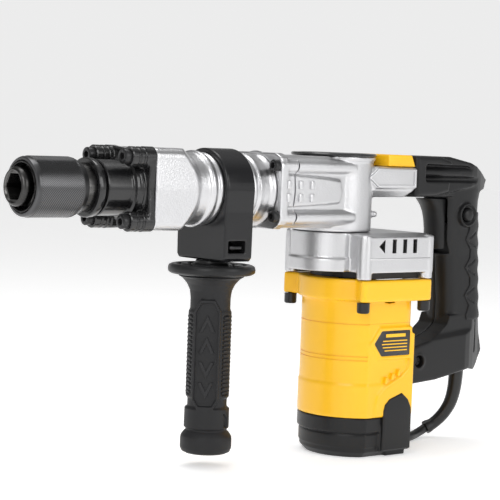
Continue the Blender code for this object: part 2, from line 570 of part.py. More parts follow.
# ---- rear handle -----------------------------------------------------------------------------
def rear_handle():
    """D-handle in two halves round the switch, with a soft strip down its back."""
    outline = [(0.0330, 0.2245), (0.0760, 0.2245), (0.0900, 0.2236), (0.1010, 0.2203), (0.1340, 0.2070),
               (0.1280, 0.2000), (0.1215, 0.1900), (0.1215, 0.1820), (0.1275, 0.0960), (0.1370, 0.0700),
               (0.1390, 0.0690), (0.1300, 0.0610), (0.1200, 0.0560), (0.1080, 0.0590), (0.0410, 0.0490),
               (0.0410, 0.0770), (0.0610, 0.0815), (0.0670, 0.0850), (0.0780, 0.0890), (0.0845, 0.0970),
               (0.0830, 0.1190), (0.0814, 0.1470), (0.0770, 0.1560), (0.0765, 0.1930), (0.0610, 0.1935),
               (0.0330, 0.1935)]
    edge = [(0.0250, 0.0280), (0.0870, 0.0280), (0.1000, 0.0194), (0.1080, 0.0174), (0.1160, 0.0138),
            (0.1240, 0.0092), (0.1310, 0.0048), (0.1390, 0.0014)]
    plan = edge + [(x, -y) for x, y in reversed(edge)]
    soft = [(0.1220, 0.1818), (0.1270, 0.1818), (0.1330, 0.0960), (0.1282, 0.0960)]
    rubber = plate("rubber_grip", soft, -0.0150, 0.0150, "Y", RUBBER)
    boolean(rubber, plate("rubber_plan", plan, 0.0900, 0.1900, "Z"), "INTERSECT")
    inner = [(0.0370, 0.2190), (0.0900, 0.2190), (0.1150, 0.2080), (0.1160, 0.1850), (0.1220, 0.0980),
             (0.1250, 0.0700), (0.1120, 0.0640), (0.0600, 0.0580), (0.0600, 0.0720), (0.0820, 0.0830),
             (0.0900, 0.0960), (0.0870, 0.1480), (0.0840, 0.1560), (0.0800, 0.1985), (0.0370, 0.1985)]
    halves = []
    for side, name in ((-1, "left"), (1, "right")):
        low, high = sorted((side * GAP / 2, side * HANDLE_HALF))
        half = plate(f"handle_{name}", outline, low, high, "Y", DARK_PLASTIC)
        boolean(half, plate("handle_plan", plan, 0.0300, 0.2400, "Z"), "INTERSECT")
        lug_low, lug_high = sorted((side * GAP / 2, side * 0.0120))
        boolean(half, block("lug", (MOTOR_REAR_X + GAP, lug_low, 0.0530), (0.0450, lug_high, 0.0730)), "UNION")
        low, high = sorted((side * -0.001, side * (HANDLE_HALF - 0.003)))
        boolean(half, plate("handle_room", inner, low, high, "Y"))
        low, high = sorted((side * -0.001, side * 0.0123))
        boolean(half, block("trigger_room", (0.0600, low, 0.1500), (0.0900, high, 0.1925)))
        boolean(half, rod("boot_room", 0.0064, (0.1120, 0, 0.0400), 0.0250, "Z", sides=24))
        halves.append(half)
    left, _ = halves
    boolean(left, rod("button_hole", 0.0053, (BUTTON_AT[0], -0.03, BUTTON_AT[2]), 0.018, "Y", sides=20))

    pull = [(0.0634, 0.1905), (0.0690, 0.1855), (0.0720, 0.1800), (0.0743, 0.1680), (0.0752, 0.1540),
            (0.0800, 0.1524), (0.0815, 0.1560), (0.0815, 0.1905)]
    trigger = plate("trigger", pull, -0.0106, 0.0106, "Y", DARK_PLASTIC)
    pivot("trigger_axis", TRIGGER_PIVOT, trigger)
    button = rod("lock_button", 0.0048, BUTTON_AT, 0.0085, "Y", DARK_PLASTIC, 20)
    pivot("lock_button_axis", BUTTON_AT, button)
    block("switch", (0.0925, -0.0100, 0.1400), (0.1120, 0.0100, 0.1720), DARK_PLASTIC)


# ---- cord ------------------------------------------------------------------------------------
def mains_cord():
    """Strain relief, the cord that lies free, its stored coil and the plug on top of it."""
    count = len(BOOT_ROUTE) - 1
    radii = [0.0060 + (0.0042 - 0.0060) * step / count for step in range(count + 1)]
    tube("cord_boot", BOOT_ROUTE, radii, CORD_RUBBER, 4)
    route = smooth(CORD_ROUTE, 0.006)
    route[0] = Vector(BOOT_ROUTE[-1]) + (Vector(CORD_ROUTE[1]) - Vector(BOOT_ROUTE[-1])).normalized() * 0.0023
    tube("cord", route, CORD_D / 2, CORD_RUBBER, 2)
    inner, outer, height = COIL_R - CORD_D, COIL_R + CORD_D, COIL_LAYERS * CORD_D + 0.0002
    turned("cord_coil", [(outer, height), (outer, 0.0)], [(inner, 0.0), (inner, height)], (*COIL_AT, 0),
           mat=CORD_RUBBER)
    plug_z = height + GAP + PLUG_HALF[2]
    away = Vector((0.6390, 0.7692, 0.0))
    across = Vector((-0.7692, 0.6390, 0.0))
    centre = Vector((*COIL_AT, plug_z)) + away * 0.0210 + across * 0.0260
    frame = Matrix((away.to_4d(), across.to_4d(), (0, 0, 1, 0), (0, 0, 0, 1))).transposed()
    frame.translation = centre
    body = block("mains_plug", [-half for half in PLUG_HALF], PLUG_HALF, CORD_RUBBER, 0.003)
    relief = turned("plug_relief", [(0.0055, 0.0), (0.0042, -0.0210)], along="X", sides=COARSE)
    body.matrix_world = frame
    relief.matrix_world = frame @ Matrix.Translation((-0.0140, 0, 0)) @ AIM["X"]
    boolean(body, relief, "UNION")
    for side in (-1, 1):
        blade = rod("plug_pin", 0.0024, (0, 0, 0), 0.0190, "X", sides=12)
        blade.matrix_world = frame @ Matrix.Translation((0.0140, side * 0.0075, 0)) @ AIM["X"]
        boolean(body, blade, "UNION")


tool_holder()
retainer_sleeve()
stop_ring()
front_cover()
cylinder_housing()
striking_parts()
crank()
handle_clamp()
side_handle()
crankcase()
gear_housing()
motor_housing()
armature()
rear_handle()
mains_cord()
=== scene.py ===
"""Looks of an electric demolition hammer, built round its CAD model.

Every length in this file is in millimetres until one of the modelling tools below turns it to metres.
X runs along the striking axis with the tool holder towards -X, Z is up, and the origin is on the floor
under the motor's shaft.
"""
import math

import bmesh
import bpy
from mathutils import Matrix, Vector


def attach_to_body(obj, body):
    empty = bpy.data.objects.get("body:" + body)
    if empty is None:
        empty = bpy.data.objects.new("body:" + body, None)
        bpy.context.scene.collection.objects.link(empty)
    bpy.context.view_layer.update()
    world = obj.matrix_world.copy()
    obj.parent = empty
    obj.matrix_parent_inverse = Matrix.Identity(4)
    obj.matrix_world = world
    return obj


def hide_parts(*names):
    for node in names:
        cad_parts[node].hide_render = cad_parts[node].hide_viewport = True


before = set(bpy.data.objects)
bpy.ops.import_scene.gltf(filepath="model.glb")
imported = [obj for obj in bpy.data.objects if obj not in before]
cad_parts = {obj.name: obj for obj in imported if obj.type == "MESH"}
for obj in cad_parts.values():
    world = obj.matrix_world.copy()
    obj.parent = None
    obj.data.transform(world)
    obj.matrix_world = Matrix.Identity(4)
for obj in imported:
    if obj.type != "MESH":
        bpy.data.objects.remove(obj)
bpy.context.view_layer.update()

MM = 0.001
AXIS_Z = 197  # striking axis
LEFT, RIGHT = -1, 1  # sides of the tool, as signs along Y
LATHE_STEPS = 96


# ---- selecting and editing ----
def metres(*place):
    return Vector(place) * MM


def placed_object(name, data):
    """A new object in the scene holding a mesh, curve, lamp or camera."""
    obj = bpy.data.objects.new(name, data)
    bpy.context.scene.collection.objects.link(obj)
    return obj


def focus(obj):
    """Only this object selected and active, in object mode."""
    if bpy.context.object and bpy.context.object.mode != "OBJECT":
        bpy.ops.object.mode_set(mode="OBJECT")
    bpy.ops.object.select_all(action="DESELECT")
    obj.select_set(True)
    bpy.context.view_layer.objects.active = obj


class Editing:
    """Edit mode on one object, starting with all or nothing selected."""

    def __init__(self, obj, mode="FACE", everything=True):
        self.obj = obj
        self.mode = mode
        self.action = "SELECT" if everything else "DESELECT"

    def __enter__(self):
        focus(self.obj)
        bpy.ops.object.mode_set(mode="EDIT")
        bpy.ops.mesh.select_mode(type=self.mode)
        bpy.ops.mesh.select_all(action=self.action)
        return self

    def pick(self, test):
        """Selects the faces that pass the test."""
        bm = bmesh.from_edit_mesh(self.obj.data)
        for face in bm.faces:
            face.select_set(test(face))
        bm.select_flush_mode()
        bmesh.update_edit_mesh(self.obj.data)

    def __exit__(self, *_):
        bpy.ops.object.mode_set(mode="OBJECT")


def settle(obj):
    """Moves an object's place, turn and size into its mesh."""
    focus(obj)
    bpy.ops.object.transform_apply(location=True, rotation=True, scale=True)
    return obj


def apply_modifier(obj, kind, **settings):
    focus(obj)
    step = obj.modifiers.new(kind.lower(), kind)
    for key, value in settings.items():
        setattr(step, key, value)
    bpy.ops.object.modifier_apply(modifier=step.name)
    return obj


def face_out(obj):
    """Merges doubles and points every face outwards."""
    with Editing(obj, "VERT"):
        bpy.ops.mesh.remove_doubles(threshold=0.000001)
        bpy.ops.mesh.normals_make_consistent(inside=False)
    return obj


# ---- modelling tools ----
AIM = {"X": Matrix.Rotation(math.pi / 2, 3, "Y"), "Y": Matrix.Rotation(-math.pi / 2, 3, "X"),
    "Z": Matrix.Identity(3)}
PLANES = {"X": lambda a, b, depth: (depth, a, b), "Y": lambda a, b, depth: (a, depth, b), "Z": lambda a,
    b, depth: (a, b, depth)}


def box(name, low, high, bevel=0):
    """A box between two corners, its edges bevelled where asked."""
    low, high = metres(*low), metres(*high)
    bpy.ops.mesh.primitive_cube_add(size=1, location=(low + high) / 2)
    obj = bpy.context.object
    obj.name = name
    obj.scale = high - low
    settle(obj)
    if bevel:
        with Editing(obj, "EDGE"):
            bpy.ops.mesh.bevel(offset=bevel * MM, segments=3, affect="EDGES")
    return obj


def side_box(name, side, low, high, bevel=0):
    """A box on one side of the tool, its Y places given as distances from the middle plane."""
    near, far = sorted((side * low[1], side * high[1]))
    return box(name, (low[0], near, low[2]), (high[0], far, high[2]), bevel)


def drum(name, radius, start, length, along, sides=64):
    """A plain cylinder from start along one axis."""
    bpy.ops.mesh.primitive_cylinder_add(vertices=sides, radius=radius * MM, depth=length * MM)
    obj = bpy.context.object
    obj.name = name
    turn = AIM[along].to_4x4()
    obj.matrix_world = Matrix.Translation(metres(*start)) @ turn @ Matrix.Translation((0, 0,
        length * MM / 2))
    return settle(obj)


def chain(name, points, closed):
    """A mesh of edges through the points, given in metres."""
    mesh = bpy.data.meshes.new(name)
    links = [(i, i + 1) for i in range(len(points) - 1)]
    if closed:
        links.append((len(points) - 1, 0))
    mesh.from_pydata([tuple(p) for p in points], links, [])
    return placed_object(name, mesh)


def lathe(name, profile, at=(0, 0, 0), along="Z", closed=False, steps=LATHE_STEPS):
    """A turned piece: profile lists (radius, place along the axis); closed joins its ends, as for a ring."""
    centre = metres(*at)
    turn = AIM[along]
    obj = chain(name, [centre + turn @ metres(radius, 0, place) for radius, place in profile], closed)
    axis = turn @ Vector((0, 0, 1))
    with Editing(obj, "VERT"):
        bpy.ops.mesh.spin(steps=steps, angle=2 * math.pi, center=centre, axis=axis)
    return face_out(obj)


def slab(name, points, facing, low, high, chamfer=0, back_chamfer=0):
    """A flat outline given thickness along the axis it faces.  chamfer slopes the rim of its high
    end and back_chamfer that of its low end."""
    at_depth = PLANES[facing]
    rise = Vector(at_depth(0, 0, 1))
    start, end = low + back_chamfer * (1 if high > low else -1), high - chamfer * (1 if high > low
        else -1)
    obj = chain(name, [metres(*at_depth(a, b, start)) for a, b in points], True)
    with Editing(obj, "VERT"):
        bpy.ops.mesh.edge_face_add()
        bpy.ops.mesh.extrude_region_move(TRANSFORM_OT_translate={"value": rise * (end - start) * MM})
        bpy.ops.mesh.select_all(action="SELECT")
        bpy.ops.mesh.normals_make_consistent(inside=False)
    for depth, width in ((end, chamfer), (start, back_chamfer)):
        if not width:
            continue
        with Editing(obj, everything=False) as edit:
            edit.pick(lambda face, depth=depth: abs(face.normal.dot(rise)) > 0.99
                and abs(face.calc_center_median().dot(rise) - depth * MM) < 1e-6)
            bpy.ops.mesh.inset(thickness=width * MM, depth=width * MM)
    return obj


def loft(name, loops):
    """A closed piece skinned over loops of points that all have the same count."""
    count = len(loops[0])
    points = [metres(*point) for loop in loops for point in loop]
    mesh = bpy.data.meshes.new(name)
    links = [(level * count + i, level * count + (i + 1) % count) for level in range(len(loops))
        for i in range(count)]
    mesh.from_pydata([tuple(p) for p in points], links, [])
    obj = placed_object(name, mesh)
    with Editing(obj, "EDGE"):
        bpy.ops.mesh.bridge_edge_loops()
        bpy.ops.mesh.select_all(action="SELECT")
        bpy.ops.mesh.fill_holes(sides=0)
    return face_out(obj)


FRONT_SQUARENESS, BACK_SQUARENESS = 3, 2.2  # a plain ellipse has 2
OVAL_POINTS = 48


def oval(front, back, half, z):
    """A rounded section across the handle: squarer in front than behind."""
    middle, reach = (front + back) / 2, (back - front) / 2
    points = []
    for step in range(OVAL_POINTS):
        angle = 2 * math.pi * step / OVAL_POINTS
        power = 2 / (FRONT_SQUARENESS if math.cos(angle) < 0 else BACK_SQUARENESS)
        x = math.copysign(abs(math.cos(angle)) ** power, math.cos(angle))
        y = math.copysign(abs(math.sin(angle)) ** power, math.sin(angle))
        points.append((middle + reach * x, half * y, z))
    return points


def arc(centre, radius, start, end, count):
    angles = [math.radians(start + (end - start) * step / count) for step in range(count + 1)]
    return [(centre[0] + radius * math.cos(a), centre[1] + radius * math.sin(a)) for a in angles]


def combine(obj, operation, tools):
    for tool in tools:
        apply_modifier(obj, "BOOLEAN", operation=operation, solver="EXACT", object=tool)
        bpy.data.objects.remove(tool, do_unlink=True)
    return obj


def add(obj, *tools):
    return combine(obj, "UNION", tools)


def cut(obj, *tools):
    return combine(obj, "DIFFERENCE", tools)


def common(obj, *tools):
    return combine(obj, "INTERSECT", tools)


def cast(obj, voxel, rounds=4):
    """Runs every edge of a casting or moulding together into small fillets."""
    apply_modifier(obj, "REMESH", mode="VOXEL", voxel_size=voxel * MM)
    apply_modifier(obj, "SMOOTH", factor=0.5, iterations=rounds)
    focus(obj)
    bpy.ops.object.shade_smooth()
    return obj


def attach(obj, *parts):
    """Joins small sharp details onto a casting; they start inside its wall."""
    focus(obj)
    for part in parts:
        part.select_set(True)
    bpy.ops.object.join()
    return obj


def engrave(obj, *tools):
    """Sharp cuts made after a casting has been rounded."""
    cut(obj, *tools)
    bpy.ops.object.shade_smooth_by_angle(angle=math.radians(38))
    return obj


def crisp(obj, width=0, segments=3, angle=35):
    """Small bevels on the sharp edges, and smooth shading between them."""
    if width:
        apply_modifier(obj, "BEVEL", width=width * MM, segments=segments, limit_method="ANGLE",
            angle_limit=math.radians(angle), use_clamp_overlap=True)
    focus(obj)
    bpy.ops.object.shade_smooth_by_angle(angle=math.radians(angle))
    return obj


def copy_of(obj, name):
    """A copy with its own mesh."""
    return placed_object(name, obj.data.copy())


def move(obj, *offset):
    obj.location = metres(*offset)
    return settle(obj)


def turn_about(obj, degrees, axis, centre):
    """Turns a piece about an axis through a centre given in millimetres."""
    place = Matrix.Translation(metres(*centre))
    obj.matrix_world = place @ Matrix.Rotation(math.radians(degrees), 4,
        axis) @ place.inverted() @ obj.matrix_world
    return settle(obj)


def mirror_to_right(obj, name):
    """A mirrored copy on the other side of the tool's middle plane."""
    twin = copy_of(obj, name)
    twin.scale = (1, -1, 1)
    settle(twin)
    face_out(twin)
    return twin


def finished(obj, mat, body, slot, *nodes):
    """Gives a piece its material, its body and the CAD nodes that it stands for; the slot argument is not
    used.
    """
    obj.data.materials.clear()
    obj.data.materials.append(mat)
    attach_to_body(obj, body)
    if nodes:
        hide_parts(*nodes)
    return obj


# ---- shared surface effects ----
def new_group(name, inputs, outputs):
    group = bpy.data.node_groups.new(name, "ShaderNodeTree")
    for label, kind, default in inputs:
        socket = group.interface.new_socket(name=label, in_out="INPUT", socket_type=kind)
        if default is not None:
            socket.default_value = default
    for label, kind in outputs:
        group.interface.new_socket(name=label, in_out="OUTPUT", socket_type=kind)
    return group, group.nodes.new("NodeGroupInput"), group.nodes.new("NodeGroupOutput")


def put(node, settings):
    """Sets a node's unconnected inputs by their labels."""
    for label, value in settings.items():
        node.inputs[label].default_value = value


def grain_group():
    """Fine skin of a casting or moulding: a height, and a slow cloudiness for colour and roughness."""
    group, given, result = new_group("surface_grain",
        [("Vector", "NodeSocketVector", None), ("Grain Scale", "NodeSocketFloat", 900),
        ("Cloud Scale", "NodeSocketFloat", 25)], [("Height", "NodeSocketFloat"),
        ("Cloud", "NodeSocketFloat")])
    fine = group.nodes.new("ShaderNodeTexNoise")
    put(fine, {"Detail": 3})
    cloud = group.nodes.new("ShaderNodeTexNoise")
    put(cloud, {"Detail": 4})
    link = group.links.new
    for node, scale, label in ((fine, "Grain Scale", "Height"), (cloud, "Cloud Scale", "Cloud")):
        link(given.outputs["Vector"], node.inputs["Vector"])
        link(given.outputs[scale], node.inputs["Scale"])
        link(node.outputs["Fac"], result.inputs[label])
    return group


def painted_light_group():
    """Painted highlight on sharp edges and painted shade in hollows, from how sharply the surface turns."""
    group, given, result = new_group("painted_edge_highlight_and_hollow_shade", [("Color", "NodeSocketColor", (0.5, 0.5, 0.5, 1)),
        ("Edge Color", "NodeSocketColor", (0.8, 0.8, 0.8, 1)),
        ("Hollow Color", "NodeSocketColor", (0.1, 0.1, 0.1, 1)), ("Edge", "NodeSocketFloat", 0.3),
        ("Hollow", "NodeSocketFloat", 0.3)], [("Color", "NodeSocketColor")])
    link = group.links.new
    geometry = group.nodes.new("ShaderNodeNewGeometry")
    previous = given.outputs["Color"]
    # sharp edges lighter as a painted highlight, hollows darker as painted shade
    for low, high, amount, colour in ((0.53, 0.60, "Edge", "Edge Color"),
            (0.47, 0.38, "Hollow", "Hollow Color")):
        span = group.nodes.new("ShaderNodeMapRange")
        put(span, {"From Min": low, "From Max": high})
        link(geometry.outputs["Pointiness"], span.inputs["Value"])
        strength = group.nodes.new("ShaderNodeMath")
        strength.operation = "MULTIPLY"
        link(span.outputs["Result"], strength.inputs[0])
        link(given.outputs[amount], strength.inputs[1])
        mix = group.nodes.new("ShaderNodeMix")
        mix.data_type = "RGBA"
        link(strength.outputs[0], mix.inputs["Factor"])
        link(previous, mix.inputs["A"])
        link(given.outputs[colour], mix.inputs["B"])
        previous = mix.outputs["Result"]
    link(previous, result.inputs["Color"])
    return group


GRAIN = grain_group()
PAINTED_LIGHT = painted_light_group()


def shade(colour, gain):
    return tuple(min(1, channel * gain) for channel in colour) + (1,)


def material(name, colour, roughness, metallic=0, spread=0.06, rough_spread=0.06, grain=900, cloud=25,
        bump=0.05, edge=0.2, hollow=0.3, edge_gain=1.6, hollow_gain=0.45, coat=0, coat_roughness=0.1,
        specular=0.5, stretch=None):
    """A Principled material with grain, cloudy colour and roughness, a painted highlight on its sharp edges
    and painted shade in its hollows.
    """
    mat = bpy.data.materials.new(name)
    mat.use_nodes = True
    nodes, link = mat.node_tree.nodes, mat.node_tree.links.new
    shader = nodes["Principled BSDF"]
    put(shader, {"Metallic": metallic, "Coat Weight": coat, "Coat Roughness": coat_roughness,
        "Specular IOR Level": specular})
    place = nodes.new("ShaderNodeTexCoord")
    vector = place.outputs["Object"]
    if stretch:
        mapping = nodes.new("ShaderNodeMapping")
        put(mapping, {"Scale": stretch})
        link(vector, mapping.inputs["Vector"])
        vector = mapping.outputs["Vector"]
    skin = nodes.new("ShaderNodeGroup")
    skin.node_tree = GRAIN
    put(skin, {"Grain Scale": grain, "Cloud Scale": cloud})
    link(vector, skin.inputs["Vector"])

    tone = nodes.new("ShaderNodeMix")
    tone.data_type = "RGBA"
    put(tone, {"A": shade(colour, 1 - spread), "B": shade(colour, 1 + spread)})
    link(skin.outputs["Cloud"], tone.inputs["Factor"])
    # painted light: sharp edges lighter as a painted highlight, hollows darker as painted shade
    painted_light_node = nodes.new("ShaderNodeGroup")
    painted_light_node.node_tree = PAINTED_LIGHT
    put(painted_light_node, {"Edge Color": shade(colour, edge_gain), "Hollow Color": shade(colour, hollow_gain),
        "Edge": edge, "Hollow": hollow})
    link(tone.outputs["Result"], painted_light_node.inputs["Color"])
    link(painted_light_node.outputs["Color"], shader.inputs["Base Color"])

    rough = nodes.new("ShaderNodeMapRange")
    put(rough, {"From Min": 0.3, "From Max": 0.7, "To Min": roughness - rough_spread, "To Max": roughness
        + rough_spread})
    link(skin.outputs["Cloud"], rough.inputs["Value"])
    link(rough.outputs["Result"], shader.inputs["Roughness"])

    relief = nodes.new("ShaderNodeBump")
    put(relief, {"Strength": bump, "Distance": 0.0004})
    link(skin.outputs["Height"], relief.inputs["Height"])
    link(relief.outputs["Normal"], shader.inputs["Normal"])
    return mat


CAST_ALUMINIUM = material("cast_aluminium", (0.62, 0.62, 0.63), 0.36, 1, spread=0.07, rough_spread=0.06,
    grain=760, bump=0.42, edge=0.35, hollow=0.6, edge_gain=1.12, hollow_gain=0.50)
GLOSS_BLACK = material("gloss_black_enamel", (0.007, 0.007, 0.0075), 0.24, spread=0.2, grain=700,
    bump=0.03, edge=0.10, hollow=0.2, edge_gain=3, coat=0.35, coat_roughness=0.1, specular=0.45)
BLACK_STEEL = material("blackened_steel", (0.075, 0.075, 0.077), 0.27, 0.9, spread=0.10, grain=1100,
    bump=0.05, edge=0.55, hollow=0.7, edge_gain=3.2, hollow_gain=0.3)
NECK_STEEL = material("dark_turned_steel", (0.035, 0.034, 0.034), 0.22, 1, spread=0.12, grain=900,
    bump=0.02, edge=0.6, hollow=0.5, edge_gain=4, hollow_gain=0.4, stretch=(6, 1, 1))
NOSE_STEEL = material("oiled_nose_steel", (0.05, 0.049, 0.048), 0.28, 1, spread=0.25, grain=800, cloud=60,
    bump=0.03, edge=0.7, hollow=0.5, edge_gain=3, hollow_gain=0.3)
BOLT_BLACK = material("black_oxide_bolts", (0.022, 0.022, 0.023), 0.32, 0.5, spread=0.15, grain=1200,
    bump=0.04, edge=0.5, hollow=0.3, edge_gain=5)
GROUND_STEEL = material("ground_steel", (0.60, 0.60, 0.62), 0.24, 1, grain=1500, bump=0.03,
    stretch=(1, 6, 6))
LAMINATED_STEEL = material("laminated_steel", (0.35, 0.35, 0.37), 0.38, 0.9, grain=900, bump=0.15,
    stretch=(0.2, 0.2, 3))
COPPER = material("copper_windings", (0.72, 0.33, 0.14), 0.34, 1, spread=0.15, grain=500, bump=0.25,
    stretch=(1, 1, 4))
CARBON = material("brush_carbon", (0.03, 0.03, 0.032), 0.62, 0.1, grain=1500, bump=0.12)
YELLOW = material("yellow_plastic", (0.98, 0.53, 0.006), 0.34, spread=0.025, rough_spread=0.04,
    grain=1300, bump=0.035, edge=0.15, hollow=0.45, edge_gain=1.15, hollow_gain=0.72, coat=0.15,
    coat_roughness=0.25)
DARK_PLASTIC = material("dark_nylon", (0.013, 0.0131, 0.0137), 0.38, spread=0.08, grain=1500, bump=0.09,
    edge=0.25, hollow=0.4, edge_gain=2.2, specular=0.28)
CLAMP_PLASTIC = material("satin_black_nylon", (0.010, 0.010, 0.011), 0.25, spread=0.06, grain=1400,
    bump=0.05, edge=0.25, hollow=0.4, edge_gain=2.2, specular=0.4)
RUBBER = material("soft_grip_rubber", (0.017, 0.017, 0.018), 0.50, spread=0.10, rough_spread=0.08,
    grain=1700, bump=0.14, edge=0.30, hollow=0.45, edge_gain=2.2, specular=0.25)
CORD_RUBBER = material("cord_rubber", (0.010, 0.010, 0.0105), 0.38, spread=0.12, grain=1100, bump=0.06,
    edge=0.2, hollow=0.3, edge_gain=2.5)
LABEL = material("label_film", (0.022, 0.022, 0.023), 0.30, spread=0.04, grain=600, bump=0.02, edge=0.1)


def set_cad_materials():
    """Carried-over CAD nodes, all inside the tool, get a procedural material."""
    kinds = {GROUND_STEEL: ("sleeve_spring", "cylinder_liner", "beat_piece", "striker", "piston_pin",
        "connecting_rod", "crankshaft", "crank_bearing", "clamp_nut", "handle_stud", "armature_shaft",
        "upper_bearing", "lower_bearing"), LAMINATED_STEEL: ("stator",),
        COPPER: ("armature_core", "commutator"), CARBON: ("carbon_brush_left", "carbon_brush_right"),
        CAST_ALUMINIUM: ("piston",), DARK_PLASTIC: ("cooling_fan", "switch", "bearing_plate"), }
    for mat, names in kinds.items():
        for name in names:
            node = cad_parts[name]
            node.data.materials.clear()
            node.data.materials.append(mat)


# ---- camera, light and floor ----
def set_camera():
    camera = bpy.data.cameras.new("camera")
    camera.lens = 126
    camera.sensor_width = 36
    camera.clip_start = 0.05
    holder = placed_object("camera", camera)
    right, up = Vector((0.7704, -0.6366, 0.0366)), Vector((0.0130, 0.0730, 0.9973))
    back = right.cross(up).normalized()
    up = back.cross(right).normalized()
    right.normalize()
    turn = Matrix((right, up, back)).transposed().to_4x4()
    holder.matrix_world = Matrix.Translation((-0.9067, -0.9637, 0.2344)) @ turn
    bpy.context.scene.camera = holder


def area_light(name, place, aim, size, power):
    lamp = bpy.data.lights.new(name, "AREA")
    lamp.shape = "RECTANGLE"
    lamp.size, lamp.size_y = size
    lamp.energy = power
    holder = placed_object(name, lamp)
    holder.location = place
    holder.rotation_euler = (Vector(aim) - Vector(place)).to_track_quat("-Z", "Y").to_euler()


def set_world():
    """Even white near the horizon, and a dimmer band above it for contrast in the metal."""
    world = bpy.data.worlds.new("studio")
    bpy.context.scene.world = world
    world.use_nodes = True
    nodes, link = world.node_tree.nodes, world.node_tree.links.new
    direction = nodes.new("ShaderNodeTexCoord")
    split = nodes.new("ShaderNodeSeparateXYZ")
    ramp = nodes.new("ShaderNodeValToRGB")
    stops = ((0, 0.84), (0.18, 0.84), (0.30, 0.20), (0.68, 0.22), (0.90, 0.70))
    while len(ramp.color_ramp.elements) < len(stops):
        ramp.color_ramp.elements.new(0.5)
    for element, (place, value) in zip(ramp.color_ramp.elements, stops):
        element.position = place
        element.color = (value, value, value, 1)
    link(direction.outputs["Generated"], split.inputs["Vector"])
    link(split.outputs["Z"], ramp.inputs["Fac"])
    link(ramp.outputs["Color"], nodes["Background"].inputs["Color"])
    put(nodes["Background"], {"Strength": 1})


def set_floor():
    bpy.ops.mesh.primitive_plane_add(size=12, location=(0, 0, 0))
    floor = bpy.context.object
    floor.name = "floor"
    paper = bpy.data.materials.new("pale_paper")
    paper.use_nodes = True
    shader = paper.node_tree.nodes["Principled BSDF"]
    put(shader, {"Base Color": (0.96, 0.96, 0.96, 1), "Roughness": 0.85, "Specular IOR Level": 0.2,
        "Emission Color": (1, 1, 1, 1), "Emission Strength": 0.42})
    floor.data.materials.append(paper)


def set_studio():
    set_world()
    area_light("left_softbox", (-1.25, -0.75, 0.85), (-0.1, 0, 0.15), (0.7, 0.9), 8)
    area_light("front_softbox", (0.45, -1.50, 0.80), (0, 0, 0.15), (0.7, 1), 8)
    area_light("top_softbox", (-0.10, 0.25, 1.30), (-0.05, 0, 0.15), (1.2, 0.5), 6)
    set_floor()
    view = bpy.context.scene.view_settings
    view.view_transform = "Standard"
    view.look = "None"
    view.exposure = 0


# ---- mains cord ----
CORD_D = 7
COIL_AT = (64, 64)
COIL_R = 35
COIL_LAYERS = 4
COIL_TOP = COIL_LAYERS * CORD_D
CORD_ROUTE = [(91, 11.5, 7), (83, 10.8, 4.6), (75, 7.8, 3.6), (67, 4, 3.6), (59, 2.2, 3.6), (51, 4, 3.6),
    (43.7, 8.8, 3.6), (38.4, 15, 3.6), (35, 22, 3.6), (32.9, 29, 3.6)]
BOOT_ROUTE = [(112, 0, 61), (112, 0, 50), (111.2, 0.6, 38.5), (108.8, 2.2, 27.5), (104, 5.2, 18.2),
    (97.8, 8.5, 11.5), (91.5, 11.3, 7.7)]
PLUG_AWAY = Vector((0.6390, 0.7692, 0))
PLUG_ALONG = Vector((-0.7692, 0.6390, 0))
PLUG_SIDE = 26  # the plug's axis, off the coil's centre
PLUG_HEIGHT = COIL_TOP + 0.5 + 8
CLIMB_BEFORE = 75  # degrees of the last turn, before its bend, over which it leaves the coil
STEPS_A_TURN, CHANGE_STEPS = 36, 7  # points in a turn, and over how many it moves to the next place
LAST_STEPS, BEND_STEPS = 34, 12  # points in the last turn, and in its quarter bend to the plug


def smooth_line(points, spacing):
    """Points at about equal spacing on a Catmull-Rom curve through the given points."""
    knots = [Vector(p) for p in points]
    knots = [2 * knots[0] - knots[1], *knots, 2 * knots[-1] - knots[-2]]
    line = [knots[1]]
    for a, b, c, d in zip(knots, knots[1:], knots[2:], knots[3:]):
        count = max(1, round((c - b).length / spacing))
        for step in range(1, count + 1):
            t = step / count
            line.append(0.5 * (2 * b + (c - a) * t + (2 * a - 5 * b + 4 * c - d) * t ** 2
                + (3 * b - a - 3 * c + d) * t ** 3))
    return line


def eased(part):
    part = min(1, max(0, part))
    return part * part * (3 - 2 * part)


def coil_line():
    """The wound turns, clockwise from above, in two columns layer on layer; then the bend to the plug."""
    columns = (COIL_R + CORD_D / 2 - 0.05, COIL_R - CORD_D / 2 + 0.05)
    turns = []
    for layer in range(COIL_LAYERS):
        turns += [(layer, column) for column in (columns if layer % 2 == 0 else columns[::-1])]
    middle = Vector((*COIL_AT, 0))
    start = math.pi * 1.02
    line = []
    for (layer, radius), (next_layer, next_radius) in zip(turns, turns[1:]):
        for step in range(STEPS_A_TURN):
            part = eased((step - (STEPS_A_TURN - CHANGE_STEPS)) / CHANGE_STEPS)
            reach = radius + (next_radius - radius) * part
            height = CORD_D / 2 + 0.1 + CORD_D * (layer + (next_layer - layer) * part)
            angle = start - 2 * math.pi * step / STEPS_A_TURN
            line.append(middle + Vector((reach * math.cos(angle), reach * math.sin(angle), height)))
    radius, low = columns[0], CORD_D * (COIL_LAYERS - 0.5) + 0.1
    leave = math.atan2(-PLUG_AWAY.y, -PLUG_AWAY.x)
    for step in range(LAST_STEPS):
        angle = start + (leave - start) * step / LAST_STEPS
        part = eased((CLIMB_BEFORE - math.degrees(angle - leave)) / (CLIMB_BEFORE + 90))
        line.append(middle + Vector((radius * math.cos(angle), radius * math.sin(angle), low
            + (PLUG_HEIGHT - low) * part)))
    hub = middle - PLUG_AWAY * (radius - PLUG_SIDE)
    for step in range(BEND_STEPS + 1):
        angle = math.radians(90 * step / BEND_STEPS)
        part = eased((CLIMB_BEFORE + math.degrees(angle)) / (CLIMB_BEFORE + 90))
        line.append(hub - PLUG_AWAY * PLUG_SIDE * math.cos(angle)
            + PLUG_ALONG * PLUG_SIDE * math.sin(angle) + Vector((0, 0, low + (PLUG_HEIGHT - low) * part)))
    return line


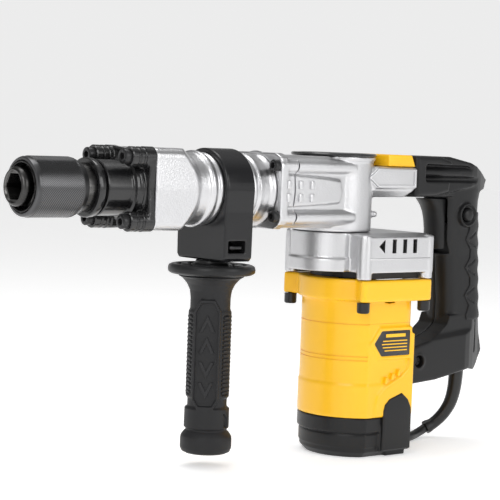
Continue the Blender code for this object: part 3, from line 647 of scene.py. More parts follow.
def tube(name, points, radii, sides_level=3):
    """A round curve through points in millimetres; radii is one radius or one for each point."""
    curve = bpy.data.curves.new(name, "CURVE")
    curve.dimensions = "3D"
    curve.bevel_depth = 1
    curve.bevel_resolution = sides_level
    curve.use_fill_caps = True
    curve.render_resolution_u = 0
    spline = curve.splines.new("POLY")
    spline.points.add(len(points) - 1)
    if not isinstance(radii, (list, tuple)):
        radii = [radii] * len(points)
    for point, place, radius in zip(spline.points, points, radii):
        point.co = (*(Vector(place) * MM), 1)
        point.radius = radius * MM
    return placed_object(name, curve)


def strain_relief(boot_line):
    count = len(boot_line) - 1
    radii = [6 - 1.6 * step / count for step in range(count + 1)]
    for back, extra in ((0, 0.9), (1, 0.8), (2, 0.2)):
        radii[-1 - back] += extra
    boot = tube("strain_relief", boot_line, radii, 5)
    return finished(boot, CORD_RUBBER, "housing", "cord_rubber", "cord_boot")


def cord_line(start):
    """The whole centre line: from the strain relief, over the floor, round the coil and to the plug."""
    first, turns = smooth_line(CORD_ROUTE, 4), coil_line()
    join = smooth_line([first[-2], first[-1], (30.9, 36, 3.6), (27.8, 46, 3.6), (26.2, 55, 3.6), turns[0],
        turns[1]], 3.5)
    join = [p for p in join if first[-1].y + 1 < p.y < turns[0].y - 1]
    return [start, *first[1:], *join, *turns, turns[-1] + PLUG_AWAY * 3]


def mains_plug():
    """The moulding and its two pins."""
    centre = Vector((*COIL_AT, PLUG_HEIGHT)) + PLUG_AWAY * 21 + PLUG_ALONG * PLUG_SIDE
    place = Matrix((PLUG_AWAY, PLUG_ALONG, Vector((0, 0, 1)))).transposed().to_4x4()
    place = Matrix.Translation(centre * MM) @ place
    body = box("mains_plug_moulding", (-15, -12, -8), (15, 12, 8), 3)
    cut(body, drum("waist", 9, (-2, -19, -12), 24, "Z"), drum("waist", 9, (-2, 19, -12), 24, "Z"))
    relief = [(3.6, -35), (4.3, -35)]
    for groove in range(4):
        at, wide = -33 + 5 * groove, 4.4 + 0.3 * groove
        relief += [(wide, at), (wide - 0.9, at + 0.2), (wide - 0.9, at + 1.6), (wide + 0.1, at + 1.8)]
    relief += [(6.4, -12), (3.6, -12)]
    attach(body, lathe("relief", relief, along="X", closed=True, steps=40))
    cast(body, voxel=0.5, rounds=3)
    body.matrix_world = place
    settle(body)
    finished(body, CORD_RUBBER, "housing", "cord_rubber", "mains_plug")
    pins = []
    for number, side in enumerate((-1, 1), 1):
        pin = lathe(f"plug_pin_{number}", [(0, 12), (2.4, 12), (2.4, 31.4), (1.6, 32.8), (0, 33)],
            (0, side * 7.5, 0), "X", steps=32)
        pin.matrix_world = place
        settle(pin)
        crisp(pin)
        pins.append(finished(pin, GROUND_STEEL, "housing", "ground_steel"))
    return [body, *pins]


def coil_tie():
    """A narrow band that holds the turns together."""
    tie_at = Vector((*COIL_AT, 0)) - PLUG_ALONG * COIL_R
    tie = slab("coil_tie", [(-8.4, -0.6), (8.4, -0.6), (8.4, COIL_TOP + 1), (-8.4, COIL_TOP + 1)], "X",
        -3, 3)
    cut(tie, box("tie_hole", (-5, -7.4, -0.4), (5, 7.4, COIL_TOP + 0.3)))
    move(tie, 0, 0, 0.65)
    angle = math.degrees(math.atan2(PLUG_ALONG.y, PLUG_ALONG.x)) - 90
    tie.matrix_world = Matrix.Translation(tie_at * MM) @ Matrix.Rotation(math.radians(angle), 4, "Z")
    settle(tie)
    finished(crisp(tie, 0.3), CLAMP_PLASTIC, "housing", "dark_plastic")


def mains_cord():
    boot_line = smooth_line(BOOT_ROUTE, 3)
    boot = strain_relief(boot_line)
    start = boot_line[-1] + (Vector(CORD_ROUTE[1]) - boot_line[-1]).normalized() * 0.4
    line = cord_line(start)
    cord = tube("mains_cord", line, CORD_D / 2, 5)
    finished(cord, CORD_RUBBER, "housing", "cord_rubber", "cord", "cord_coil")
    plug = mains_plug()
    coil_tie()


# ---- tool holder ----
def hexagon(across_flats, turn=0):
    return arc((0, AXIS_Z), across_flats / math.sqrt(3), turn, 300 + turn, 5)


def tool_nose():
    profile = [(0, -196.7), (12, -196.7), (12, -228), (15.5, -228.3), (15.5, -251.9), (16.5, -252.2),
        (16.5, -264.5), (13.5, -265.2), (13.5, -296.5), (13, -297.5), (12.4, -298), (12.4, -301.6),
        (12.9, -302.2), (12.9, -304.6), (12.6, -305.4), (11.6, -306.5), (10.9, -306.7), (10.4, -306.5),
        (9.9, -305.4), (0, -305.4)]
    nose = lathe("tool_nose", profile, (0, 0, AXIS_Z), "X")
    cut(nose, slab("hex_socket", hexagon(17), "X", -312, -231.7),
        drum("beat_bore", 8.6, (-247, 0, AXIS_Z), 60, "X"))
    finished(crisp(nose, 0.15, 2), NOSE_STEEL, "housing", "blackened_steel", "tool_holder")


KNURL_START, KNURL_END, KNURL_ROWS, KNURL_COLUMNS, KNURL_DEPTH = -296.6, -264.4, 44, 160, 0.36


def knurled_sleeve():
    """Turned sleeve whose middle is rolled with crossed ridges that meet as small diamonds."""
    rows = [KNURL_START + (KNURL_END - KNURL_START) * row / KNURL_ROWS for row in range(KNURL_ROWS + 1)]
    outside = [(17.5, -300), (18.7, -300), (19.3, -299.7), (19.85, -298.6), (19.85, -297.2)]
    outside += [(19.85, place) for place in rows]
    outside += [(19.85, -263.6), (19.6, -263), (18.4, -260.2), (17.9, -259), (17.2, -259)]
    inside = [(16.9, -261.5), (16.9, -295.5), (16.1, -296), (16.1, -299), (16.9, -299.2), (17.3, -298.6)]
    sleeve = lathe("knurled_sleeve", outside + inside, (0, 0, AXIS_Z), "X", True, KNURL_COLUMNS)
    pitch = (KNURL_END - KNURL_START) / KNURL_ROWS
    for vertex in sleeve.data.vertices:
        across = Vector((0, vertex.co.y, vertex.co.z - AXIS_Z * MM))
        row = (vertex.co.x / MM - KNURL_START) / pitch
        if across.length < 19.7 * MM or not 0.5 < row < KNURL_ROWS - 0.5:
            continue
        column = round(math.atan2(across.y, across.z) / (2 * math.pi) * KNURL_COLUMNS)
        lift = KNURL_DEPTH if (round(row) + column) % 2 else -KNURL_DEPTH
        vertex.co += across.normalized() * lift * MM
    focus(sleeve)
    bpy.ops.object.shade_smooth_by_angle(angle=math.radians(28))
    finished(sleeve, BLACK_STEEL, "sleeve", "blackened_steel", "retainer_sleeve")
    ring = lathe("sleeve_lip_ring", [(15.8, -300.3), (16.7, -300.3), (16.7, -299.4), (15.8, -299.4)],
        (0, 0, AXIS_Z), "X", True)
    finished(crisp(ring, 0.2), NECK_STEEL, "sleeve", "blackened_steel")


def stop_ring():
    profile = [(15.8, -251.8), (19.2, -251.8), (19.9, -251.2), (20, -250.6), (20, -247.8), (19.7, -247),
        (19, -246.5), (15.8, -246.5)]
    ring = lathe("stop_ring_turned", profile, (0, 0, AXIS_Z), "X", True)
    finished(crisp(ring), GLOSS_BLACK, "housing", "blackened_steel", "stop_ring")


# ---- front cover ----
BOLT_Y, BOLT_Z = 21, 21.6
JOINT_X = -212.5


def corners(reach_y, reach_z):
    return [(y, AXIS_Z + z) for y in (-reach_y, reach_y) for z in (-reach_z, reach_z)]


def flange_outline(half, boss_r):
    """A square outline whose corners swell round the four bolt bosses, as (y, z) points."""
    points = []
    for quarter, (y, z) in enumerate(((1, 1), (-1, 1), (-1, -1), (1, -1))):
        centre = (y * BOLT_Y, AXIS_Z + z * BOLT_Z)
        points += arc(centre, boss_r, 90 * quarter - 12, 90 * quarter + 102, 6)
        middle = math.radians(90 * quarter + 90)
        points.append((half * math.cos(middle), AXIS_Z + half * math.sin(middle)))
    return points


def front_cover():
    neck = [(15.9, -243.9), (18.3, -243.9), (19, -243.3), (19, -224.6), (19.8, -223.8), (21.8, -223.2),
        (22, -220.6), (23.6, -219.4), (24, JOINT_X), (15.9, JOINT_X)]
    cover = lathe("front_cover_casting", neck, (0, 0, AXIS_Z), "X", True)
    flange = slab("cover_flange", flange_outline(26.6, 7), "X", -217.6, JOINT_X)
    cut(flange, drum("eye", 17, (-220, 0, AXIS_Z), 12, "X"))
    bosses = [lathe("boss", [(3.1, -231.4), (6.2, -231.4), (6.8, -230.6), (6.8, -226.9), (5.8, -226.3),
        (5.8, -225.1), (6.8, -224.5), (6.8, -222.5), (5.8, -221.9), (5.8, -220.7), (7, -220.1),
        (7, JOINT_X), (3.1, JOINT_X)], (0, y, z), "X", True, 48) for y, z in corners(BOLT_Y, BOLT_Z)]
    turned = [crisp(copy_of(boss, "boss_turned")) for boss in bosses]
    barrel = crisp(copy_of(cover, "neck_turned"))
    attach(cover, flange, *bosses)
    cast(cover, voxel=0.6, rounds=6)
    attach(cover, barrel, *turned)
    finished(cover, GLOSS_BLACK, "housing", "black_metal", "front_cover")


def socket_bolt(name, head_r, head_length, shank_r, shank_length, socket, depth):
    """A cap screw along +X with its head's face at the origin."""
    profile = [(0, 0), (head_r - 0.7, 0), (head_r - 0.15, 0.35), (head_r, 0.9), (head_r, head_length),
        (shank_r, head_length), (shank_r, head_length + shank_length), (0, head_length + shank_length)]
    bolt = lathe(name, profile, along="X", steps=48)
    opening = [(y, z - AXIS_Z) for y, z in hexagon(socket, 30)]
    cut(bolt, slab("socket", opening, "X", -1, depth))
    return crisp(bolt, 0.12, 2)


def bolts(prefix, places, pattern):
    """Copies of one bolt at (x, y, z) places; each stands for the CAD node of the same number."""
    for number, place in enumerate(places, 1):
        bolt = copy_of(pattern, f"{prefix}_{number}_turned")
        move(bolt, *place)
        finished(bolt, BOLT_BLACK, "housing", "black_metal", f"{prefix}_{number}")
    bpy.data.objects.remove(pattern, do_unlink=True)


def front_bolts():
    pattern = socket_bolt("front_bolt_pattern", 5, 5, 2.5, 33, 4.6, 3.2)
    bolts("front_bolt", [(-236.3, y, z) for y, z in corners(BOLT_Y, BOLT_Z)], pattern)


# ---- cylinder housing ----
def cylinder_housing():
    start = JOINT_X + 0.3
    profile = [(19.4, start), (26.3, start), (25.2, -195), (25, -165), (25.2, -163.4), (26.9, -162.6),
        (26.9, -160), (25.6, -159), (25, -157.5), (25, -156), (25.7, -155.4), (25.7, -153.2),
        (25, -152.6), (25, -126.4), (25.9, -125.8), (25.9, -122.6), (24.6, -122), (24.6, -120.6),
        (26, -119.8), (25.2, -116), (25, -110), (26.2, -106.5), (26.4, -105.2), (19.4, -105.2)]
    housing = lathe("cylinder_housing_casting", profile, (0, 0, AXIS_Z), "X", True)
    square = slab("square", flange_outline(27.9, 6.3), "X", start, start + 41)
    facing = lathe("facing", [(0, start - 1), (42, start - 1), (42, start + 16), (24.2, start + 41),
        (0, start + 41)], (0, 0, AXIS_Z), "X")
    common(square, facing)
    cut(square, drum("eye", 21, (start - 5, 0, AXIS_Z), 60, "X"))
    add(housing, square)
    for y, z in corners(BOLT_Y, BOLT_Z):
        cut(housing, drum("bolt_hole", 3.1, (start - 5, y, z), 22, "X"))
    finished(cast(housing, voxel=0.72, rounds=4), CAST_ALUMINIUM, "housing", "cast_aluminium",
        "cylinder_housing")


# ---- side handle and its clamp ----
CLAMP_X = (-152, -127)
HANDLE_X = -141


def handle_clamp():
    outline = arc((0, AXIS_Z), 28.7, 0, 180, 32)
    outline += [(-27.6, 182), (-27.2, 150), (-25, 147.4), (25, 147.4), (27.2, 150), (27.6, 182)]
    clamp = slab("handle_clamp_moulding", outline, "X", *CLAMP_X, 0.8, 0.8)
    cut(clamp, drum("eye", 25.35, (-160, 0, AXIS_Z), 40, "X", 96))
    cut(clamp, box("nut_pocket", (-148.5, -40, 153.5), (-133.5, 40, 162)))
    cut(clamp, drum("screw_hole", 4.4, (HANDLE_X, 0, 140), 32, "Z"))
    cast(clamp, voxel=0.5, rounds=3)
    bars = []
    for side in (LEFT, RIGHT):
        bars.append(crisp(side_box("nut_edge", side, (-146.5, 22, 156.2), (-136, 26.2, 158.2)), 0.3))
    attach(clamp, *bars)
    finished(clamp, CLAMP_PLASTIC, "clamp", "dark_plastic", "handle_clamp")


def grip_guard():
    profile = [(4.3, 147), (11.5, 147), (11.8, 144.6), (14.5, 144.2), (14.8, 142.6), (17, 142.4),
        (17.6, 144.2), (22, 144.2), (22.5, 142.2), (24.5, 142), (25.4, 144), (28.6, 144), (30.4, 143),
        (31, 141), (30.8, 138.6), (29, 137.2), (24, 136.4), (4.3, 136.2)]
    guard = lathe("grip_guard_moulding", profile, (HANDLE_X, 0, 0), "Z", True)
    for spoke in range(8):
        slot = box("slot", (14.6, -1.6, 142.2), (25, 1.6, 146))
        slot.location = metres(HANDLE_X, 0, 0)
        slot.rotation_euler.z = math.radians(45 * spoke + 10)
        cut(guard, settle(slot))
    finished(cast(guard, voxel=0.5, rounds=3), DARK_PLASTIC, "side_handle", "dark_plastic", "grip_guard")


PANEL_TURNS = (225, 45)  # degrees round the grip at which the chevron panels face
NOTCH_TURNS = (290, 110)


def chevron(middle, height, half_width, stroke, point_up):
    """A bent bar's outline about x = 0, as (across, z) points."""
    lift = height / 2 if point_up else -height / 2
    return [(-half_width, middle - lift), (0, middle + lift), (half_width, middle - lift),
        (half_width - stroke, middle - lift), (0, middle + lift - 2.2 * math.copysign(stroke, lift)),
        (-half_width + stroke, middle - lift)]


def side_grip():
    profile = [(0, 136), (24, 136), (20.5, 134), (17, 130), (14.9, 125.5), (14.2, 120), (14.2, 112.5),
        (15.2, 110.5), (15.4, 70), (15.4, 50.5), (14, 49.5), (14, 43.5), (15.9, 42.3), (16, 28.5),
        (14.6, 27.6), (14.6, 26.4), (16.2, 25), (18, 22.4), (18.3, 20), (18.3, 14), (17.2, 11.4),
        (14.5, 10.1), (0, 10)]
    grip = lathe("side_grip_moulding", profile, (HANDLE_X, 0, 0))

    def placed(part, turn):
        part.location = metres(HANDLE_X, 0, 0)
        part.rotation_euler.z = math.radians(turn)
        return settle(part)

    details = []
    for turn in PANEL_TURNS:
        rim = [(-9.3, 49), (-5.6, 42.8), (5.6, 42.8), (9.3, 49), (9.3, 112), (5, 119.6), (-5, 119.6),
            (-9.3, 112)]
        panel = [(-7.8, 50), (-4.8, 44.6), (4.8, 44.6), (7.8, 50), (7.8, 111), (4.2, 117.6),
            (-4.2, 117.6), (-7.8, 111)]
        add(grip, placed(slab("panel_rim", rim, "X", 9, 15.7), turn))
        cut(grip, placed(slab("panel_recess", panel, "X", 13.4, 22), turn))
        for middle, point_up in ((103, True), (88, True), (70, False), (55.5, False)):
            mark = slab("chevron", chevron(middle, 12, 5.6, 2.4, point_up), "X", 12, 14.3)
            details.append(placed(crisp(mark, 0.25), turn))
    for turn in [panel_turn + offset for panel_turn in PANEL_TURNS for offset in (62, -62)]:
        cut(grip, placed(box("strip", (14.2, -4.2, 52), (20, 4.2, 109)), turn))
        for rib in range(19):
            bar = box("rib", (13, -3.7, 53.2 + 2.95 * rib), (15.4, 3.7, 54.7 + 2.95 * rib))
            details.append(placed(crisp(bar, 0.3, 2), turn))
    for turn in NOTCH_TURNS:
        notch = slab("notch", [(-3.5, 40), (2.5, 36), (2.5, 29.5), (-1.5, 29.5)], "X", 14.2, 22)
        cut(grip, placed(notch, turn))
    cut(grip, drum("stud_socket", 4.5, (HANDLE_X, 0, 100), 40, "Z"))
    attach(cast(grip, voxel=0.54, rounds=2), *details)
    finished(grip, RUBBER, "side_handle", "soft_rubber", "side_grip")


# ---- crankcase ----
CASE_X = -105
CRANK_X = -29
CASE_BOLTS = [(y, AXIS_Z + z) for y in (-25.3, 25.3) for z in (-18, 18)]


def crankcase():
    section = [(-27, 176), (-22.5, 170.6), (22.5, 170.6), (27, 176), (27, 216), (22, 222.3), (-22, 222.3),
        (-27, 216)]
    case = slab("crankcase_casting", section, "X", CASE_X, CRANK_X)
    front = [(-30, 180), (-28, 173), (-22, 169.6), (22, 169.6), (28, 173), (30, 180), (30, 214),
        (28, 221), (22, 223.8), (-22, 223.8), (-28, 221), (-30, 214)]
    add(case, slab("front_flange", front, "X", CASE_X, -98))
    for side in (LEFT, RIGHT):
        for z, radius in ((214.5, 5.4), (178.3, 5.6)):
            add(case, drum("ridge", radius, (CASE_X, side * 24.6, z), 72, "X", 48))
        panel = [(-103, 209.5), (-60, 206.5), (-47, 205), (-45, 197), (-47, 189), (-60, 187.8),
            (-103, 185.5)]
        add(case, slab("side_panel", panel, "Y", side * 20, side * 29.4, 0.8))
    column = lathe("column", [(0, 167.4), (29, 167.4), (29.5, 168.5), (29.5, 218.5), (31, 220.4),
        (31.2, 222.4), (0, 222.4)], (CRANK_X, 0, 0))
    arm = slab("arm", [(-30, 193), (25, 193), (32.7, 199), (32.7, 215.9), (-30, 215.9)], "Y", -25, 25,
        1.2, 1.2)
    chamfer = slab("arm_chamfer", [(-26, 190), (-17.5, 190), (-26, 199.5)], "X", -40, 40)
    other = slab("arm_chamfer", [(26, 190), (17.5, 190), (26, 199.5)], "X", -40, 40)
    cut(arm, chamfer, other)
    add(case, column, arm)
    for side in (LEFT, RIGHT):
        plaque = [(-18.5, 207.5), (-9, 215.4), (32.2, 215.4), (32.2, 199.8), (-9, 199.8)]
        add(case, slab("plaque", plaque, "Y", side * 20, side * 26.6, 0.5))
    for y, z in CASE_BOLTS:
        cut(case, drum("bolt_hole", 2.4, (-115, y, z), 30, "X", 24))
    add(case, lathe("nub", [(0, 0), (2.3, 0), (2.3, 3), (1.6, 3.8), (0, 4)], (-5.6, -19, 180.3), "X",
        steps=32), slab("front_eye", arc((0, AXIS_Z), 28, 0, 350, 35), "X", CASE_X, CASE_X + 1.5))
    cut(case, drum("bore", 24, (-115, 0, AXIS_Z), 70, "X"),
        drum("crank_room", 26.2, (CRANK_X, 0, 160), 80, "Z"),
        box("arm_hollow", (0, -22, 196.5), (40, 22, 213)))
    cast(case, voxel=0.78, rounds=4)
    attach(case, *case_details(case))
    finished(case, CAST_ALUMINIUM, "housing", "cast_aluminium", "crankcase")
    pattern = socket_bolt("case_bolt_pattern", 4.2, 4.4, 2, 12.5, 4, 2.8)
    bolts("case_bolt", [(CASE_X - 4.6, y, z) for y, z in CASE_BOLTS], pattern)


def case_details(case):
    """Plaque outlines and ribs to attach; the parting lines are engraved on the way."""
    details = []
    for side in (LEFT, RIGHT):
        frame_line = slab("frame_line", [(-17.4, 207.5), (-8.3, 214.4), (31, 214.4), (31, 200.8),
            (-8.3, 200.8)], "Y", side * 25.6, side * 27.9)
        cut(frame_line, slab("frame_inside", [(-14.8, 207.5), (-7.2, 212.8), (29.4, 212.8), (29.4, 202.4),
            (-7.2, 202.4)], "Y", side * 20, side * 30))
        details.append(crisp(frame_line, 0.25))
        for x in (-97.6, -86.4, -75.6):
            for low, high in ((189.4, 195.4), (198.6, 204.6)):
                rib = side_box("rib", side, (x - 1.7, 27.6, low), (x + 1.7, 30.9, high))
                details.append(crisp(rib, 0.5))
        seam = [(-89.5, 224), (-88.5, 217), (-89, 212), (-92, 208), (-91.2, 197), (-92.4, 187),
            (-89.5, 180), (-91.5, 169)]
        strip = [(x - 0.65, z) for x, z in seam] + [(x + 0.65, z) for x, z in reversed(seam)]
        engrave(case, slab("parting_line", strip, "Y", side * 27.4, side * 34))
    return details


def top_cover():
    profile = [(0, 219.2), (25.8, 219.2), (25.8, 222.7), (31.2, 222.7), (32, 223.2), (32, 224),
        (31.3, 224.8), (29.5, 225.1), (27.5, 225.1), (27, 224.6), (4, 224.9), (3.4, 224.3), (0, 224.3)]
    cover = lathe("top_cover_turned", profile, (CRANK_X, 0, 0))
    finished(crisp(cover), GLOSS_BLACK, "housing", "black_metal", "top_cover")


def accent_panel():
    side_view = [(4.5, 216.2), (32.6, 216.2), (28.6, 224.9), (4.5, 224.9)]
    panel = slab("accent_panel_moulding", side_view, "Y", -24.7, 24.7)
    cut(panel, drum("cover_room", 32.4, (CRANK_X, 0, 214), 20, "Z", 96))
    finished(crisp(panel, 1, 4), YELLOW, "housing", "yellow_plastic", "accent_panel")


# ---- gear housing ----
SCREWS = [(x, y) for x in (-31, 31) for y in (-40.5, 40.5)]
POST_INWARD = 0.988  # the posts stand this much nearer the middle plane than their screws


def gear_housing():
    low, high = 138.6, 166.9
    core = arc((CRANK_X, 0), 29.5, 110, 250, 28) + [(38.5, -27.7), (38.5, 27.7)]
    housing = slab("gear_housing_casting", core, "Z", low, high)
    skirt = arc((CRANK_X, 0), 31.2, 112, 248, 28) + [(39, -28), (39, 28)]
    add(housing, slab("skirt", skirt, "Z", low, 148))
    for side in (LEFT, RIGHT):
        plan = [(-35, side * 24), (-35, side * 43.5), (-33.5, side * 45.3), (34, side * 45.3),
            (38.6, side * 41), (39.6, side * 24)]
        if side == LEFT:
            plan.reverse()
        add(housing, slab("air_box", plan, "Z", low, high, 1.6))
        slope = box("slope", (-60, -30, 0), (60, 30, 20))
        slope.location = metres(0, side * 34, high - 0.2)
        slope.rotation_euler.x = math.radians(-side * 9)
        cut(housing, settle(slope))
        cut(housing, side_box("air_room", side, (-32, 29, 120), (34, 43, 163)))
    for x, y in SCREWS:
        post = lathe("post", [(0, 133.4), (5.6, 133.4), (5.6, 140), (5.6, 160), (5.2, 165.5),
            (3.7, 166.3), (0, 166.4)], (x, y * POST_INWARD, 0), steps=40)
        add(housing, post)
    cut(housing, drum("gear_chamber", 26.2, (CRANK_X, 0, 130), 29.5, "Z"),
        drum("pinion_room", 13, (0, 0, 130), 33, "Z"),
        drum("bearing_seat", 14.3, (CRANK_X, 0, 150), 30, "Z"))
    for x, y in SCREWS:
        cut(housing, drum("screw_hole", 2.4, (x, y, 128), 14, "Z", 24))
    cast(housing, voxel=0.68, rounds=4)
    details = []
    for side in (LEFT, RIGHT):
        openings = [[(-21.9, 158), (-15.9, 163.2), (-15.9, 152.9)]]
        openings += [[(x, 163.2), (x + 4, 163.2), (x + 4, 152.9), (x, 152.9)] for x in (-8.4, 2.4, 12.8)]
        for opening in openings:
            engrave(housing, slab("louvre", opening, "Y", side * 40, side * 50))
        details.append(crisp(side_box("band", side, (-31, 44.2, 148), (31, 45.9, 149.4)), 0.4))
    attach(housing, *details)
    finished(housing, CAST_ALUMINIUM, "housing", "cast_aluminium", "gear_housing")
    # dark cards behind the louvres: painted shade standing in for the shaded room inside
    for side, name in ((LEFT, "shade_card_left"), (RIGHT, "shade_card_right")):
        shade_card = side_box(name, side, (-30, 37, 133.5), (32, 38.5, 162.5), 0.3)
        finished(crisp(shade_card), CARBON, "housing", "dark_plastic")


# ---- motor housing ----
FRONT_R, HALF_Y, REAR_X = 41.2, 36.5, 29


def motor_outline(grow=0):
    """Section of the motor casing: round in front, flat sides, rounded rear corners."""
    corner = 12
    half, rear = HALF_Y + grow, REAR_X + grow
    points = arc((0, 0), FRONT_R + grow, 118, 242, 30)
    points += arc((rear - corner, corner - half), corner, -90, 0, 8)
    points += arc((rear - corner, half - corner), corner, 0, 90, 8)
    return points


def top_flange_outline():
    """The flange over the motor, with an ear round each of its four screws."""
    boss = 5.4
    points = arc((0, 0), 44.6, 134, 226, 24)
    points += arc((-31, -40.3), boss, 205, 285, 6) + arc((31, -40.3), boss, 262, 372, 8)
    points += [(34.4, -31), (34.4, 31)]
    points += arc((31, 40.3), boss, -12, 98, 8) + arc((-31, 40.3), boss, 75, 155, 6)
    return points


LABEL_OUTER = [(-19.5, 85.2), (-9.6, 97.4), (23.6, 97.4), (23.6, 73), (-9.6, 73)]
LABEL_INNER = [(-15.6, 85.2), (-7.8, 95), (21.9, 95), (21.9, 75.4), (-7.8, 75.4)]


def motor_housing():
    casing = slab("motor_housing_moulding", motor_outline(), "Z", 30.2, 118)
    lower = slab("lower_band", motor_outline(0.7), "Z", 30.2, 55, 0.6)
    flange = slab("top_flange", top_flange_outline(), "Z", 117, 133, 0.9, 0.9)
    add(casing, lower, flange)
    for side in (LEFT, RIGHT):
        boss = [(-12.5, 30.4), (-12.5, 40), (-10.5, 46), (-5, 51.5), (3, 55.5), (13, 60), (19.5, 65),
            (22.5, 71), (22.9, 92), (26, 92), (26, 30.4)]
        add(casing, slab("brush_boss", boss, "Y", side * 30, side * 38.5, 0.4))
    add(casing, slab("label_frame", LABEL_OUTER, "Y", -30, -38, 0.6))
    cut(casing, slab("label_seat", LABEL_INNER, "Y", -36.7, -40))
    cut(casing, slab("motor_room", motor_outline(-3.2), "Z", 25, 117),
        drum("fan_room", 36.5, (0, 0, 115), 30, "Z", 96))
    for x, y in SCREWS:
        cut(casing, drum("screw_hole", 2.5, (x, y, 100), 40, "Z", 24))
    cast(casing, voxel=0.84, rounds=3)
    for z in (99.8, 75.9, 73):
        ring = slab("score", motor_outline(4), "Z", z - 0.4, z + 0.4)
        cut(ring, slab("score_core", motor_outline(-0.6), "Z", z - 2, z + 2),
            box("label_clear", (-20, -60, 70), (40, -30, 100)))
        engrave(casing, ring)
    marks = []
    for side in (LEFT, RIGHT):
        for mark in range(3):
            x, z = -2.5 + 6.4 * mark, 57.6 + 2.6 * mark
            bar = slab("mark", [(x - 1.6, z - 2), (x + 0.9, z - 2.4), (x + 2, z + 1.6),
                (x + 0.6, z + 2.8), (x - 0.6, z + 2.2)], "Y", side * 35.8, side * 39)
            marks.append(crisp(bar, 0.4))
    attach(casing, *marks)
    finished(casing, YELLOW, "housing", "yellow_plastic", "motor_housing")


def flange_screws():
    """Each screw comes up from below, with a tall dark head under its corner of the flange."""
    profile = [(0, 109), (3.6, 109), (4.4, 109.5), (4.7, 110.5), (4.7, 116), (4.9, 116.7), (2, 116.8),
        (2, 129.6), (0, 129.6)]
    pattern = lathe("flange_screw_pattern", profile, steps=48)
    cut(pattern, slab("socket", arc((0, 0), 2.7, 0, 300, 5), "Z", 108, 112))
    crisp(pattern, 0.12, 2)
    bolts("flange_screw", [(x, y, 0) for x, y in SCREWS], pattern)


def base_cap():
    cap = slab("base_cap_moulding", motor_outline(0.4), "Z", 18.6, 29.9, 0.5, 0.6)
    skirt = slab("skirt", motor_outline(-1.9), "Z", 0, 20, 0, 4.6)
    add(cap, skirt)
    lip = slab("lip", motor_outline(-1), "Z", 6, 17.4, 0.4, 2.2)
    add(cap, lip)
    for side in (LEFT, RIGHT):
        add(cap, side_box("foot", side, (4, 22, 0), (24, 34, 9)))
        add(cap, side_box("cover_seat", side, (-5.5, 30, 4), (25, 37.2, 24)))
    cut(cap, slab("room", motor_outline(-3.6), "Z", 4, 40))
    for slot in range(5):
        cut(cap, box("air_slot", (-24 + 9 * slot, -16, -2), (-20 + 9 * slot, 16, 6)))
    finished(cast(cap, voxel=0.62, rounds=4), DARK_PLASTIC, "housing", "dark_plastic", "base_cap")


def brush_covers():
    outline = [(-4.4, 5), (-4.4, 35), (-3, 39.6), (1.5, 43.6), (14, 47.6), (20.5, 42.5), (24, 36),
        (24.4, 31), (24.4, 5)]
    left = slab("brush_cover_left_moulding", outline, "Y", -36.9, -39.7, 0.9)
    crisp(left, 0.4, 3)
    right = mirror_to_right(left, "brush_cover_right_moulding")
    crisp(right)
    finished(left, DARK_PLASTIC, "housing", "dark_plastic", "brush_cover_left")
    finished(right, DARK_PLASTIC, "housing", "dark_plastic", "brush_cover_right")


def label_plate():
    """Dark plate, with blank bars where its text would be printed."""
    outline = [(-15.2, 85.2), (-7.6, 94.7), (21.6, 94.7), (21.6, 75.7), (-7.6, 75.7)]
    plate = slab("label_plate_film", outline, "Y", -36.75, -37.35)
    finished(crisp(plate, 0.15, 2), LABEL, "housing", "dark_plastic", "label_plate")
    bars = [box("label_bars", (-3.6, -37.55, 89.8), (16.5, -37.3, 92.2))]
    for inset, z in ((1, 86.6), (0, 84.2), (1, 81.8), (3, 79.4)):
        bars.append(box("bar", (-7.5 + inset, -37.5, z), (18.5, -37.3, z + 0.8)))
    attach(*bars)
    finished(bars[0], YELLOW, "housing", "yellow_plastic")


# ---- rear handle ----
HANDLE_HALF = 19
HALF_GAP = 0.15  # from the middle plane to the parting face of each half
SCREW_X, SCREW_Z = 50.7, 66.8  # bracket screws, one from each side
BUTTON_X, BUTTON_Z = 98, 179.5  # lock button, on the left only
ROOF = [(33.2, 224.6), (77, 224.6), (101, 220.4), (134, 207.2), (128, 199.4), (76.5, 193.2),
    (33.2, 193.2)]
GRIP = [(84, 82, 127.4, 17.4), (97, 84.3, 126.8, 16.2), (110, 84.6, 125.9, 15.6), (128, 83, 124.7, 15.4),
    (147, 81.2, 123.4, 15.5), (153, 78.6, 123, 15.8), (158, 77, 122.6, 16), (175, 76.8, 121.6, 16.4),
    (190, 76.6, 121.6, 17), (203, 76.2, 124, 17.8)]
TAPER = [(25, 28), (80, 28), (87, 19.6), (100, 19.4), (108, 17.4), (116, 13.8), (124, 9.2), (131, 4.8),
    (139.4, 1.2)]
FOOT = [(41.2, 77.2), (62, 82), (76, 88), (83, 93.5), (86, 101), (126.6, 101), (132, 84.5), (138.4, 70),
    (130, 61), (119.5, 55.8), (108, 58), (90, 54.6), (70, 51.2), (41.2, 49.2)]


